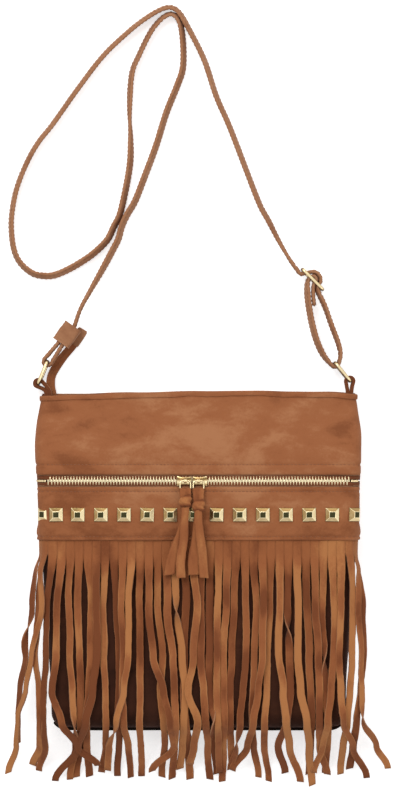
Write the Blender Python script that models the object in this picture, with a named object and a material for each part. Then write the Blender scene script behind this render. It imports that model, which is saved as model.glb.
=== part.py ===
"""A fringed suede shoulder bag that lies on its back, its strap laid in loose curves above it.

Sizes are in millimetres and become metres in the helpers. X runs across the bag to its right, Y up it from base to
mouth, and Z out of its front. The origin is the middle of its flat back face, which lies on Z = 0.
"""

import math

import bmesh
import bpy
import numpy as np
from mathutils import Vector

# Body
BODY_HEIGHT = 300.0
MOUTH_HALF = 140.0
BELLY_HALF = MOUTH_HALF + 4.0
BAND_HALF = MOUTH_HALF + 0.5
FOOT_HALF = MOUTH_HALF - 9.0
BELLY_BELOW_MOUTH = 45.0
BAND_BELOW_MOUTH = 110.0
SEAM_HEIGHT = 16.0
SEAM_GAP = 0.9
MOUTH_CROWN = 12.0
FRONT_CROWN = 30.0
CROWN_BELOW_MOUTH = 66.0
SIDE_ROUNDING = 14.0
BASE_ROUNDING = 22.0
CORNER_ROUNDING = 14.0
ROWS_BELOW_CROWN = 20.0
ROWS_ABOVE_BASE = 12.0

# Leather, cloth and the clearance between layers
GAP = 0.3
PANEL_WALL = 1.6
OUTER_WALL = 1.3
LINING_WALL = 0.8
LINING_CLEARANCE = 0.9
LINING_BELOW_MOUTH = 19.0
LINING_ABOVE_BASE = 3.0
HEM_WALL = 0.7
HEM_HEIGHT = 4.5
HEM_CLEARANCE = 0.6
PIPING = 3.0
LIFT_TAPER = 16.0

# Front zip
ZIP_BELOW_MOUTH = 78.0
ZIP_SLOT = 10.6
CHAIN_REACH = BAND_HALF - 7.5
CHAIN_BEND = 13.0
SLIDER_CLEARANCE = 0.9
TOOTH_ROOM = 0.9
TEETH_WIDTH = 2.6
TEETH_HEIGHT = 2.2
TAPE_STEP = 0.4
TAPE_WALL = 0.7
TAPE_WIDTH = 11.0
STOP_LENGTH = 5.0
SLIDER_LENGTH = 12.6
SLIDER_WIDTH = 8.4
SLIDER_WALL = 1.1
SLIDER_WEB = 0.4
SLIDER_HEADROOM = 0.5
PLATE_CLEARANCE = 0.3
SLIDERS_APART = 14.0
SLIDERS_AT = -5.8

# Pull rings and the suede ties on them
PULLS_APART = 11.6
PULL_WIRE = 1.5
PULL_WIDTH = 10.8
PULL_DROP = 8.6
PULL_ROUNDING = 1.4
BAIL_WIDTH = 2.6
BAIL_WALL = 0.9
TIE_WIDTH = 7.2
TIE_WALL = 1.3
KNOT_LENGTH = 6.0
KNOT_ABOVE_STUD = 4.0
KNOT_MARGIN = 0.7
LOOP_SKEW = 0.9
LAY_CLEARANCE = 0.3
TAIL_LENGTH = 74.0
TAIL_SPREAD = 9.0
TAIL_DRIFT = 9.0
TAIL_SAG = 1.5

# Studs
STUD_COUNT = 15
STUDS_REACH = BAND_HALF + 2.3
STUD_PITCH = STUDS_REACH / (STUD_COUNT // 2)
LEFT_STUD_INWARD, RIGHT_STUD_INWARD = 5.8, 3.8
STUDS_AT = -4.5
STUD_SIDE = 12.0
STUD_TOP = 3.4
STUD_SKIRT = 0.9
STUD_HEIGHT = 4.6
STUD_CLEARANCE = 0.3
STUDS_BELOW_MOUTH = 109.0

# Stud band and fringe
BAND_END_BELOW_MOUTH = 132.0
HEADER_TUCK = 8.0
SLIT_BELOW_MOUTH = 145.5
FRINGE_REACH = BAND_HALF + 9.65
STRAND_CUT = 0.5
FRINGE_WALL = 1.2
FRINGE_AT = -1.5
STRAND_LAYER = 1.7
STRAND_SETTLE = 72.0
STRAND_MARGIN = 3.0
BASE_MARGIN = 7.0
HEADER_CLEARANCE = 1.1

# Each strand's sideways drift at five drops below its slit and at its end, its length, and its layer in the pile
STRAND_DROPS = (45, 90, 120, 148, 173)
STRANDS = (
    ((-7, -14, -19, -21, -22, -22), 171, 2),
    ((-4, -6, -3, -2, -4, -11), 192, 0),
    ((-3, -12, -17, -25, -28, -36), 199, 3),
    ((-5, -6, -8, -9, -8, -15), 197, 1),
    ((-3, -5, -8, 0, 13, 31), 191, 4),
    ((-2, 0, 2, 4, 3, -3), 205, 1),
    ((-1, 0, 1, 1, 0, -4), 203, 0),
    ((4, 3, 1, -1, -2, -1), 202, 2),
    ((0, 0, -3, -10, -17, -39), 206, 3),
    ((-2, -1, 0, 1, 0, -5), 198, 1),
    ((2, 4, 4, 4, 4, 2), 202, 0),
    ((-1, 0, -1, 1, 4, 6), 203, 2),
    ((-2, -3, -7, -14, -21, -22), 196, 3),
    ((0, 0, 0, 0, 0, 0), 202, 1),
    ((0, 4, 13, 18, 22, 2), 197, 3),
    ((0, 4, 2, 5, 6, 3), 203, 0),
    ((1, 6, 8, 8, 7, 5), 204, 2),
    ((1, 6, 9, 8, 6, 4), 195, 1),
    ((2, 0, 0, 1, 4, 5), 205, 0),
    ((4, 1, -4, 5, 1, -2), 190, 2),
    ((-1, 0, 2, 4, 6, 8), 205, 1),
    ((0, 0, 0, 3, 4, 6), 200, 0),
    ((-1, -1, -1, -1, 0, 1), 198, 2),
    ((-1, -4, -4, -2, -3, -4), 207, 1),
    ((-2, -4, -5, -5, -4, -4), 196, 0),
    ((1, 1, -1, -4, -8, -13), 195, 2),
    ((2, 1, 0, -1, 1, 6), 203, 1),
    ((1, 0, -3, -8, -13, -26), 196, 3),
    ((-2, -3, -3, -6, -5, -1), 207, 0),
    ((0, -1, 3, 6, 10, 20), 207, 2),
    ((-1, 1, 2, -1, -8, -2), 199, 1),
    ((0, 1, 3, 8, 12, 15), 210, 3),
    ((1, 3, 4, 5, 5, 4), 200, 0),
    ((1, 3, 4, 5, 6, 13), 200, 2),
    ((-1, 0, 2, 4, 5, 4), 199, 1),
    ((2, 1, -1, -4, -8, -14), 198, 3),
    ((0, -2, -1, 2, 12, 25), 203, 4),
    ((3, 3, 1, -2, -4, -5), 200, 1),
    ((4, 7, 7, 7, 21, 33), 195, 2),
    ((6, 7, 4, 1, -2, -4), 195, 0),
)
STRAND_ROWS = 13
STRAND_PITCH = 2 * FRINGE_REACH / (len(STRANDS) - 1)

# Strap, its metal and its loops
STRAP_WIDTH = 13.0
STRAP_WALL = 3.4
STRAP_LEAN = 15.0
STRAP_RISE = 70.0
HARDWARE_HEIGHT = 15.5
LOOP_CLEARANCE = 0.4
RING_WIRE = 3.0
RING_HEIGHT = 22.5
RING_SPAN = 21.0
BUCKLE_WIRE = 2.0
BUCKLE_HEIGHT = 20.0
BUCKLE_SPAN = 25.4
BUCKLE_BAR = 2.5
TAB_WIDTH = 10.5
TAB_WALL = 1.5
TAB_DEPTH = 13.0
KEEPER_LENGTH = 19.0
KEEPER_WIDTH = 17.0
KEEPER_WALL = 1.5
TAIL_WIDTH = 8.0
TAIL_WALL = 1.8
ROUND_KEEPER = 6.0
BEHIND_KEEPER = 8.0
MAIN_ZIP_TOP = 1.5
MAIN_ZIP_DEPTH = 14.0
MAIN_ZIP_INSET = 18.0
MAIN_SLIDER_INSET = 26.0
MAIN_SLIDER_SIZE = (13.0, 9.0, 4.0)

# Where the metal stands, from its own side's corner of the mouth
LEFT_FOOT_AT = (-3.0, 8.2)
LEFT_RING_WAY = (0.38, 0.925)
RIGHT_FOOT_AT = (-4.7, 10.2)
RIGHT_RING_WAY = (-0.631, 0.776)
BUCKLE_AT = (-38.1, 101.0)
KEEPER_AT = (22.4, 51.8)

# The strap's route from the buckle to the keeper, from the middle of the mouth
STRAP_ROUTE = (
    (88, 110), (81, 120), (72, 136), (63, 154), (54, 171), (29, 236), (16, 266), (5, 299), (-10, 329), (-18, 342),
    (-26, 346), (-36, 343), (-49, 335), (-63, 324), (-86, 302), (-109, 272), (-131, 241), (-143, 226), (-152, 211),
    (-160, 193), (-165, 177), (-168, 158), (-168, 143), (-166, 129), (-162, 119), (-156, 112), (-149, 107),
    (-142, 105), (-131, 105), (-118, 110), (-104, 118), (-93, 126), (-82, 137), (-76, 149), (-70, 162), (-62, 202),
    (-61, 228), (-62, 254), (-60, 286), (-53, 304), (-43, 324), (-33, 336), (-24, 340), (-17, 333), (-14, 315),
    (-14, 292), (-19, 276), (-29, 251), (-38, 222), (-48, 195), (-57, 172), (-64, 160), (-69, 149), (-72, 138),
    (-77, 128), (-86, 111), (-97, 91), (-106, 74),
)
LEAN_CHANGES_AT = (-61, 240)

# The strap's strands between the buckle and the right ring, and the zip's tail, from the corners of the mouth
RIGHT_STRAND = ((-33.4, 91), (-27, 77), (-21, 60), (-15, 44), (-13, 34))
LEFT_STRAND = ((-28, 33), (-34.5, 47), (-39, 64), (-42.1, 83), (-42.7, 97))
SEWN_END = ((-36.3, 77), (-37.4, 87), (-37.2, 95.5))
ZIP_TAIL = (
    (23, -11, 5.6), (13, -7, 5.8), (10.5, 0, 6.6), (9.5, 8, 5.0), (10.5, 17, 1.8), (17, 30, 1.3),
    (26, 43, 1.3), (36, 57, 1.3), (40.5, 64, 1.3),
)

TOP = BODY_HEIGHT / 2
ZIP_Y = TOP - ZIP_BELOW_MOUTH
STUD_Y = TOP - STUDS_BELOW_MOUTH
BAND_END_Y = TOP - BAND_END_BELOW_MOUTH
SLIT_Y = TOP - SLIT_BELOW_MOUTH
SHEET_TOP = TOP - HEM_WALL - GAP
TEETH_BASE = GAP + SLIDER_CLEARANCE + SLIDER_WALL
TEETH_TOP = TEETH_BASE + TEETH_HEIGHT
TAPE_TOP = TEETH_BASE + TAPE_STEP + TAPE_WALL
OUTER_LIFT = TAPE_TOP + 2 * GAP + OUTER_WALL
HEADER_LIFT = HEADER_CLEARANCE + FRINGE_WALL
HEADER_COVER = HEADER_LIFT + 2 * GAP + OUTER_WALL
SIDE_LIFT = 2 * GAP + OUTER_WALL
PLATE_TOP = TEETH_TOP + SLIDER_HEADROOM + SLIDER_WALL
AXLE_LIFT = PLATE_TOP + GAP + PULL_WIRE / 2
FLOOR_LIFT = 0.4
LARGEST_TURN = math.radians(16)
LARGEST_PULL = 1.5  # of a curve's span
SECTION_SHARES = (*np.linspace(-1, -0.76, 9), -0.4, 0.0, 0.4, *np.linspace(0.76, 1, 9))
FLAT_SHARES = (-1.0, 0.0, 1.0)


def at_mouth(point):
    """A place given from the middle of the mouth, as one given from the origin."""
    return Vector((point[0], point[1] + TOP, *point[2:]))


def at_corner(side, point):
    """A place given from the mouth's left corner, side -1, or its right one, side 1, as one from the origin."""
    return Vector((point[0] + side * MOUTH_HALF, point[1] + TOP, *point[2:]))


LEFT_WAY = Vector(LEFT_RING_WAY).normalized()
RIGHT_WAY = Vector(RIGHT_RING_WAY).normalized()
LEFT_FOOT = at_corner(-1, LEFT_FOOT_AT)
RIGHT_FOOT = at_corner(1, RIGHT_FOOT_AT)
LEFT_BAR = LEFT_FOOT + LEFT_WAY * RING_SPAN
RIGHT_BAR = RIGHT_FOOT + RIGHT_WAY * RING_SPAN
BUCKLE = at_corner(1, BUCKLE_AT)
KEEPER = at_corner(-1, KEEPER_AT)
BUCKLE_WAY = Vector((1, -1)).normalized()


def material(name, colour, roughness, metallic=0.0):
    """A plain surface for one kind of leather, cloth or metal."""
    made = bpy.data.materials.new(name)
    made.use_nodes = True
    shader = made.node_tree.nodes["Principled BSDF"]
    shader.inputs["Base Color"].default_value = (*colour, 1.0)
    shader.inputs["Roughness"].default_value = roughness
    shader.inputs["Metallic"].default_value = metallic
    return made


def add_object(name, data, surface):
    """Links a mesh or a curve to the scene as a named object."""
    data.materials.append(surface)
    obj = bpy.data.objects.new(name, data)
    bpy.context.scene.collection.objects.link(obj)
    return obj


def finish_mesh(name, bm, surface):
    """Turns a bmesh in millimetres into an object in metres."""
    bmesh.ops.scale(bm, vec=(0.001, 0.001, 0.001), verts=bm.verts)
    mesh = bpy.data.meshes.new(name)
    bm.to_mesh(mesh)
    bm.free()
    mesh.shade_smooth()
    mesh.set_sharp_from_angle(angle=math.radians(35))
    return add_object(name, mesh, surface)


def thicken(obj, wall, offset=-1.0):
    """Thickens a sheet: offset -1 inward from it, and 0 to both sides."""
    solid = obj.modifiers.new("thickness", "SOLIDIFY")
    solid.thickness = wall * 0.001
    solid.offset = offset
    return obj


def ease(share):
    """A smooth step from 0 to 1."""
    share = min(max(share, 0.0), 1.0)
    return share * share * (3 - 2 * share)


def between(places, at):
    """A value read smoothly between places, each a distance and its value, in rising order of distance."""
    if at <= places[0][0]:
        return places[0][1]
    for (low, first), (high, last) in zip(places, places[1:]):
        if at <= high:
            return first + (last - first) * ease((at - low) / (high - low))
    return places[-1][1]


def through(points, longest):
    """Points on a smooth curve through the given ones: no further apart than this, and closer round the bends."""
    points = [Vector(p) for p in points]
    ends = [points[0] * 2 - points[1], *points, points[-1] * 2 - points[-2]]
    curve = []
    for before, start, stop, after in zip(ends, ends[1:], ends[2:], ends[3:]):
        pull = LARGEST_PULL * (stop - start).length
        leave, arrive = ((far - near) / 2 for near, far in ((before, stop), (start, after)))
        leave *= min(1.0, pull / leave.length)
        arrive *= min(1.0, pull / arrive.length)
        for t in np.linspace(0, 1, 12, endpoint=False):
            eased = ease(t)
            curve.append(start.lerp(stop, eased) + leave * t * (1 - t) ** 2 - arrive * t**2 * (1 - t))
    curve.append(points[-1])
    kept = [curve[0]]
    gone = turned = 0.0
    for before, here, after in zip(curve, curve[1:], curve[2:]):
        gone += (here - before).length
        turned += (here - before).angle(after - here, 0.0)
        if gone > longest or turned > LARGEST_TURN:
            kept.append(here)
            gone = turned = 0.0
    return [*kept, curve[-1]]


def arc(centre, radius, start, stop, count=7):
    """Points on a round bend, with angles in degrees."""
    turns = [math.radians(a) for a in np.linspace(start, stop, count)]
    return [centre + radius * Vector((math.cos(a), math.sin(a))) for a in turns]


def loft(name, rings, surface, closed=False):
    """A closed solid through rings of corners, each ring in the same order."""
    bm = bmesh.new()
    rows = [[bm.verts.new(corner) for corner in ring] for ring in rings]
    pairs = list(zip(rows, rows[1:] + rows[:1] if closed else rows[1:]))
    for here, there in pairs:
        for k in range(len(here)):
            after = (k + 1) % len(here)
            bm.faces.new((here[k], here[after], there[after], there[k]))
    if not closed:
        bm.faces.new(reversed(rows[0]))
        bm.faces.new(rows[-1])
    bmesh.ops.recalc_face_normals(bm, faces=bm.faces)
    return finish_mesh(name, bm, surface)


def prism(name, outline, axis, low, high, surface):
    """A straight solid with the given outline across one axis: 0, 1 or 2."""
    rings = [[Vector([*p[:axis], level, *p[axis:]]) for p in outline] for level in (low, high)]
    return loft(name, rings, surface)


def block(name, centre, size, surface):
    """A box."""
    x, y, half = centre[0], centre[1], Vector(size) / 2
    outline = [(x - half.x, y - half.y), (x + half.x, y - half.y), (x + half.x, y + half.y), (x - half.x, y + half.y)]
    return prism(name, outline, 2, centre[2] - half.z, centre[2] + half.z, surface)


def fuse(obj, other):
    """Joins another solid into this one."""
    union = obj.modifiers.new(other.name, "BOOLEAN")
    union.operation = "UNION"
    union.object = other
    other.hide_render = True
    other.display_type = "WIRE"


def band(name, path, heights, leans, width, wall, surface):
    """A flat strap that stands on edge along a path, each point with its height and its lean in degrees."""
    rings = []
    for k, point in enumerate(path):
        along = (path[min(k + 1, len(path) - 1)] - path[max(k - 1, 0)]).normalized()
        side = Vector((-along.y, along.x, 0))
        lean = math.radians(leans[k])
        up = Vector((0, 0, math.cos(lean))) + side * math.sin(lean)
        out = side * math.cos(lean) - Vector((0, 0, math.sin(lean)))
        middle = Vector((point.x, point.y, heights[k]))
        corners = ((-1, -1), (1, -1), (1, 1), (-1, 1))
        rings.append([middle + out * wall / 2 * a + up * width / 2 * b for a, b in corners])
    return loft(name, rings, surface)


def wire_frame(name, start, stop, height, wire, surface, radius=4.0):
    """A rectangular ring of round wire that stands upright on the line from start to stop."""
    way = (stop - start).normalized()
    far, top = (stop - start).length - radius, (height - wire) / 2 - radius
    corners = ((far, top), (radius, top), (radius, -top), (far, -top))
    curve = bpy.data.curves.new(name, "CURVE")
    curve.dimensions = "3D"
    curve.bevel_depth = wire / 2 * 0.001
    curve.bevel_resolution = 2
    points = []
    for quarter, (along, up) in enumerate(corners):
        for turn in np.linspace(0, math.pi / 2, 5):
            angle = quarter * math.pi / 2 + turn
            flat = start + way * (along + radius * math.cos(angle))
            points.append((*flat, HARDWARE_HEIGHT + up + radius * math.sin(angle), 1.0))
    spline = curve.splines.new("POLY")
    spline.points.add(len(points) - 1)
    for point, place in zip(spline.points, points):
        point.co = (*(Vector(place[:3]) * 0.001), 1.0)
    spline.use_cyclic_u = True
    return add_object(name, curve, surface)


def half_width(y):
    """Half the body's width at this height."""
    places = (
        (-TOP, FOOT_HALF),
        (TOP - BAND_BELOW_MOUTH, BAND_HALF),
        (TOP - BELLY_BELOW_MOUTH, BELLY_HALF),
        (TOP, MOUTH_HALF),
    )
    up = min(max((y + TOP) / CORNER_ROUNDING, 0.0), 1.0)
    return between(places, y) - CORNER_ROUNDING * (1 - math.sqrt(1 - (1 - up) ** 2))


def base_share(y):
    """How much of the body's depth is left at this height, above the rounding of its base."""
    up = min(max((y + TOP) / BASE_ROUNDING, 0.0), 1.0)
    return math.sqrt(1 - (1 - up) ** 2)


def crown(y):
    """How far the front stands above the side seams at this height."""
    return between(((TOP - CROWN_BELOW_MOUTH, FRONT_CROWN), (TOP, MOUTH_CROWN)), y) * base_share(y)


def side_fall(past):
    """How much of the depth is left at this share of the side's rounding."""
    return (1 - min(max(past, 0.0), 1.0) ** 3) ** (1 / 3)


def front_height(x, y):
    """The front panel's outer face at a place, or 0 beside the body."""
    wide = half_width(y)
    if y <= -TOP or abs(x) >= wide:
        return 0.0
    return SEAM_HEIGHT + SEAM_GAP / 2 + crown(y) * side_fall((abs(x) - wide + SIDE_ROUNDING) / SIDE_ROUNDING)


def section(y, front):
    """The body's cross-section at a height, from its left seam to its right, and the distance along it."""
    flat = half_width(y) - SIDE_ROUNDING
    turn = np.linspace(math.pi / 2, 0, 13)
    past = np.sin(turn) ** (2 / 3)
    left = np.array([side_fall(p) for p in past])
    share = np.concatenate([left, left[::-1]])
    x = np.concatenate([-flat - SIDE_ROUNDING * past, (flat + SIDE_ROUNDING * past)[::-1]])
    if front:
        z = SEAM_HEIGHT + SEAM_GAP / 2 + crown(y) * share
    else:
        z = (SEAM_HEIGHT - SEAM_GAP / 2) * (1 - share * base_share(y))
    gone = np.concatenate([[0], np.cumsum(np.hypot(np.diff(x), np.diff(z)))])
    return x, z, gone


def on_section(y, along, front):
    """The point on the body at a signed distance along its section from the middle, kept within the seams."""
    x, z, gone = section(y, front)
    place = min(max(along + gone[-1] / 2, 0.0), gone[-1])
    return Vector((np.interp(place, gone, x), y, np.interp(place, gone, z)))


def body_frame(along, y, lift, front=True):
    """A point lifted off the body, with the directions across, along and out of the body there."""
    reach = section(y, front)[2][-1] / 2
    along = min(max(along, -reach), reach)
    low, high = max(along - 1.5, -reach), min(along + 1.5, reach)
    across = (on_section(y, high, front) - on_section(y, low, front)).normalized()
    upper, lower = min(y + 0.5, TOP), max(y - 0.5, -TOP)
    up = (on_section(upper, along, front) - on_section(lower, along, front)).normalized()
    out = across.cross(up).normalized() * (1 if front else -1)
    return on_section(y, along, front) + out * lift, across, up, out


def reach_at(y, front=True):
    """The distance along the section from the middle to a seam."""
    return section(y, front)[2][-1] / 2


def skin(name, surface, ys, lift, wall, front=True, reach=None):
    """A panel that follows the body. Lift gives how far its outer face stands out at a distance along and a height."""
    shares = SECTION_SHARES if reach is None else FLAT_SHARES
    bm = bmesh.new()
    rows = []
    for y in ys:
        ends = reach_at(y, front) if reach is None else reach
        spots = [ends * share for share in shares]
        rows.append([bm.verts.new(body_frame(s, y, lift(s, y), front)[0]) for s in spots])
    for upper, lower in zip(rows, rows[1:]):
        for k in range(len(shares) - 1):
            corners = (upper[k], lower[k], lower[k + 1], upper[k + 1])
            bm.faces.new(corners if front else reversed(corners))
    return thicken(finish_mesh(name, bm, surface), wall)


def stations(high, low):
    """The heights of a panel's rows, from high to low. Panels that lie on each other share them."""
    crowned = np.linspace(TOP, TOP - CROWN_BELOW_MOUTH, 10)
    straight = np.linspace(TOP - CROWN_BELOW_MOUTH - ROWS_BELOW_CROWN, -TOP + BASE_ROUNDING + ROWS_ABOVE_BASE, 7)
    rounded = [-TOP + BASE_ROUNDING * (1 - math.cos(turn)) for turn in np.linspace(math.pi / 2, 0, 9)]
    inner = [y for y in (*crowned, *straight, *rounded) if low + 1 < y < high - 1]
    return [high, *inner, low]


def outer_lift(along, y):
    """How far the zip's panels stand out: over the zip in the middle, and flat on the body at the side seams."""
    low = TOP - BAND_END_BELOW_MOUTH
    middle = between(((low + 4, HEADER_COVER), (STUD_Y + 8, OUTER_LIFT), (ZIP_Y + 30, OUTER_LIFT), (TOP, SIDE_LIFT)), y)
    side = between(((low + 8, HEADER_COVER), (STUD_Y - 2, SIDE_LIFT)), y)
    return middle + (side - middle) * ease((abs(along) - CHAIN_REACH - STOP_LENGTH - 1) / LIFT_TAPER)


def build_panels(suede, dark, cloth):
    """The body's panels, its lining and its hems."""
    skin("front_panel", suede, stations(SHEET_TOP, -TOP), lambda s, y: 0.0, PANEL_WALL)
    skin("back_panel", suede, stations(SHEET_TOP, -TOP), lambda s, y: 0.0, PANEL_WALL, front=False)
    inside = -PANEL_WALL - LINING_CLEARANCE
    lined = [y + LINING_ABOVE_BASE * ease((y + TOP) / -BASE_ROUNDING + 1) for y in stations(TOP - LINING_BELOW_MOUTH, -TOP)]
    for name, front in (("lining_front", True), ("lining_back", False)):
        skin(name, cloth, lined, lambda s, y: inside, LINING_WALL, front, reach=BAND_HALF - SIDE_ROUNDING)
    skin("front_upper_panel", suede, stations(SHEET_TOP, ZIP_Y + ZIP_SLOT / 2), outer_lift, OUTER_WALL)
    skin("stud_band", suede, np.linspace(ZIP_Y - ZIP_SLOT / 2, BAND_END_Y, 9), outer_lift, OUTER_WALL)
    hem("rim_front", suede, True, SIDE_LIFT)
    hem("rim_back", suede, False, 0.0)
    centre = Vector((-FOOT_HALF + CORNER_ROUNDING, -TOP + CORNER_ROUNDING))
    path = arc(centre, CORNER_ROUNDING + GAP + PIPING / 2, 185, 270)
    path += [Vector((-p.x, p.y)) for p in reversed(path)]
    turns = [math.radians(a) for a in range(0, 360, 45)]
    rings = []
    for k, point in enumerate(path):
        along = (path[min(k + 1, len(path) - 1)] - path[max(k - 1, 0)]).normalized()
        side = Vector((-along.y, along.x, 0))
        middle = Vector((point.x, point.y, SEAM_HEIGHT))
        rings.append([middle + PIPING / 2 * (side * math.cos(t) + Vector((0, 0, math.sin(t)))) for t in turns])
    loft("bottom_piping", rings, dark)


def hem(name, suede, front, covered):
    """A folded edge over the top of the panels, with a leg on each side of them."""
    outside, inside = covered + HEM_CLEARANCE, -PANEL_WALL - HEM_CLEARANCE
    low = TOP - HEM_HEIGHT
    profile = (
        (outside + HEM_WALL, low), (outside + HEM_WALL, TOP), (inside - HEM_WALL, TOP), (inside - HEM_WALL, low),
        (inside, low), (inside, TOP - HEM_WALL), (outside, TOP - HEM_WALL), (outside, low),
    )
    reach = reach_at(TOP, front)
    rings = []
    for share in SECTION_SHARES:
        middle, _, _, out = body_frame(share * reach, TOP, 0, front)
        out = Vector((out.x, 0, out.z)).normalized()
        rings.append([Vector((middle.x, y, middle.z)) + out * lift for lift, y in profile])
    loft(name, rings, suede)


def build_front_zip(tape, gold):
    """Both halves of the front zip, with a bead for the teeth, and the metal ends."""
    room = TOOTH_ROOM / 2
    flat = CHAIN_REACH - CHAIN_BEND
    spots = [*np.linspace(-CHAIN_REACH, -flat, 6), -flat / 2, 0, flat / 2, *np.linspace(flat, CHAIN_REACH, 6)]
    tape_low = TAPE_TOP - TAPE_WALL
    for name, side in (("front_zip_upper", 1), ("front_zip_lower", -1)):
        profile = (
            (room, TEETH_BASE), (room + TEETH_WIDTH, TEETH_BASE), (room + TEETH_WIDTH, tape_low),
            (TAPE_WIDTH, tape_low), (TAPE_WIDTH, TAPE_TOP), (room + TEETH_WIDTH, TAPE_TOP),
            (room + TEETH_WIDTH, TEETH_TOP), (room, TEETH_TOP),
        )
        rings = [[body_frame(s, ZIP_Y + side * across, lift)[0] for across, lift in profile] for s in spots]
        loft(name, rings, tape)
    for name, side in (("front_zip_stop_left", -1), ("front_zip_stop_right", 1)):
        near = side * (CHAIN_REACH + GAP)
        rings = []
        for spot in (near, near + side * STOP_LENGTH / 2, near + side * STOP_LENGTH):
            half, base, top = TEETH_WIDTH + room, TEETH_BASE, TEETH_TOP
            corners = ((-half, base), (half, base), (half, top), (-half, top))
            rings.append([body_frame(spot, ZIP_Y + across, lift)[0] for across, lift in corners])
        loft(name, rings, gold)


def surface_z(y):
    """The front panel's height on its middle."""
    return SEAM_HEIGHT + SEAM_GAP / 2 + crown(y)


def build_slider(name, at, pull_at, gold):
    """A zip slider: two plates joined by a web between the rows of teeth, and a bail for the pull ring."""
    base = surface_z(ZIP_Y)
    half, web = SLIDER_WIDTH / 2, SLIDER_WEB / 2
    low = GAP + PLATE_CLEARANCE
    low_top = low + SLIDER_WALL
    high, high_base = PLATE_TOP, PLATE_TOP - SLIDER_WALL
    outline = (
        (-half, low), (half, low), (half, low_top), (web, low_top), (web, high_base), (half, high_base),
        (half, high), (-half, high), (-half, high_base), (-web, high_base), (-web, low_top), (-half, low_top),
    )
    outline = [(ZIP_Y + y, base + z) for y, z in outline]
    body = prism(name, outline, 0, at - SLIDER_LENGTH / 2, at + SLIDER_LENGTH / 2, gold)
    hole = PULL_WIRE / 2 + GAP
    foot, roof = PLATE_TOP - PLATE_CLEARANCE, AXLE_LIFT + hole
    inner, outer = hole, hole + BAIL_WALL
    arch = (
        (-outer, foot), (-inner, foot), (-inner, roof), (inner, roof), (inner, foot), (outer, foot),
        (outer, roof + BAIL_WALL * 0.4), (inner, roof + BAIL_WALL), (-inner, roof + BAIL_WALL),
        (-outer, roof + BAIL_WALL * 0.4),
    )
    arch = [(ZIP_Y + y, base + z) for y, z in arch]
    bail = prism(name + "_bail", arch, 0, pull_at - BAIL_WIDTH / 2, pull_at + BAIL_WIDTH / 2, gold)
    fuse(body, bail)


def build_pull(side, pull_at, gold, suede):
    """A pull ring through the slider's bail, and the suede tie knotted round it."""
    axle = surface_z(ZIP_Y) + AXLE_LIFT
    clear = surface_z(ZIP_Y) + OUTER_LIFT + 2 * GAP + TIE_WALL + PULL_WIRE / 2 + LAY_CLEARANCE
    across = PULL_WIDTH / 2 - PULL_WIRE / 2
    ring_y = ZIP_Y - PULL_DROP
    curve = bpy.data.curves.new("pull_ring_" + side, "CURVE")
    curve.dimensions = "3D"
    curve.bevel_depth = PULL_WIRE / 2 * 0.001
    curve.bevel_resolution = 1
    outline = []
    for quarter, (x, y) in enumerate(((across, ZIP_Y), (-across, ZIP_Y), (-across, ring_y), (across, ring_y))):
        inset = Vector((x - math.copysign(PULL_ROUNDING, x), y + math.copysign(PULL_ROUNDING, quarter - 1.5)))
        outline += arc(inset, PULL_ROUNDING, quarter * 90, quarter * 90 + 90, 4)
    spline = curve.splines.new("POLY")
    spline.points.add(len(outline) - 1)
    for point, place in zip(spline.points, outline):
        rise = (clear - axle) * (ZIP_Y - place.y) / PULL_DROP
        point.co = (*(Vector((place.x + pull_at, place.y, axle + rise)) * 0.001), 1.0)
    spline.use_cyclic_u = True
    add_object("pull_ring_" + side, curve, gold)

    bend = PULL_WIRE / 2 + LOOP_CLEARANCE + TIE_WALL / 2
    studs = surface_z(STUD_Y) + outer_lift(0, STUD_Y) + STUD_CLEARANCE + STUD_HEIGHT
    lay = studs + GAP + TIE_WALL / 2 + LAY_CLEARANCE
    layer = TIE_WALL + GAP
    knot_y = STUD_Y + STUD_SIDE / 2 + KNOT_ABOVE_STUD
    end = ring_y - TAIL_LENGTH

    def tie(name, route, sway, skew=0.0):
        """A strip of the tie along a route of points up the bag and out of it.

        Sway is how far a tail's end lies aside, and skew how far apart the strip's two ends lie.
        """
        path = through(route, 8.0)
        rings = []
        for k, point in enumerate(path):
            step = (path[min(k + 1, len(path) - 1)] - path[max(k - 1, 0)]).normalized()
            out = Vector((-step.y, step.x)) * TIE_WALL / 2
            centre = pull_at + sway * ease((knot_y - point.x) / (knot_y - end)) + skew * (k / (len(path) - 1) - 0.5)
            half = TIE_WIDTH / 2
            corners = ((-half, 1), (half, 1), (half, -1), (-half, -1))
            rings.append([Vector((centre + a, point.x + b * out.x, point.y + b * out.y)) for a, b in corners])
        return loft(name, rings, suede)

    in_knot = knot_y - KNOT_LENGTH / 6
    fold = arc(Vector((ring_y, clear)), bend, -90, 90)
    loop = tie("tassel_" + side, [(in_knot, lay), *fold, (in_knot, lay + layer)], 0, LOOP_SKEW)
    size = (TIE_WIDTH + 2 * KNOT_MARGIN, KNOT_LENGTH, 3 * TIE_WALL + GAP)
    fuse(loop, block("knot_" + side, (pull_at, knot_y, lay + layer / 2), size, suede))
    below = knot_y - KNOT_LENGTH / 2 - GAP
    past_stud = STUD_Y - STUD_SIDE - 2
    tail = [(below, lay), (STUD_Y, lay), (past_stud, lay - 1), (BAND_END_Y - STUD_SIDE / 2, studs - TAIL_SAG),
            (end, studs - TAIL_SAG)]
    drift = TAIL_DRIFT if side == "left" else 0
    tie("tail_%s_under" % side, tail, -TAIL_SPREAD / 2 - drift)
    tie("tail_%s_over" % side, [(y, z + layer) for y, z in tail], TAIL_SPREAD / 2 - drift)


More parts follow.
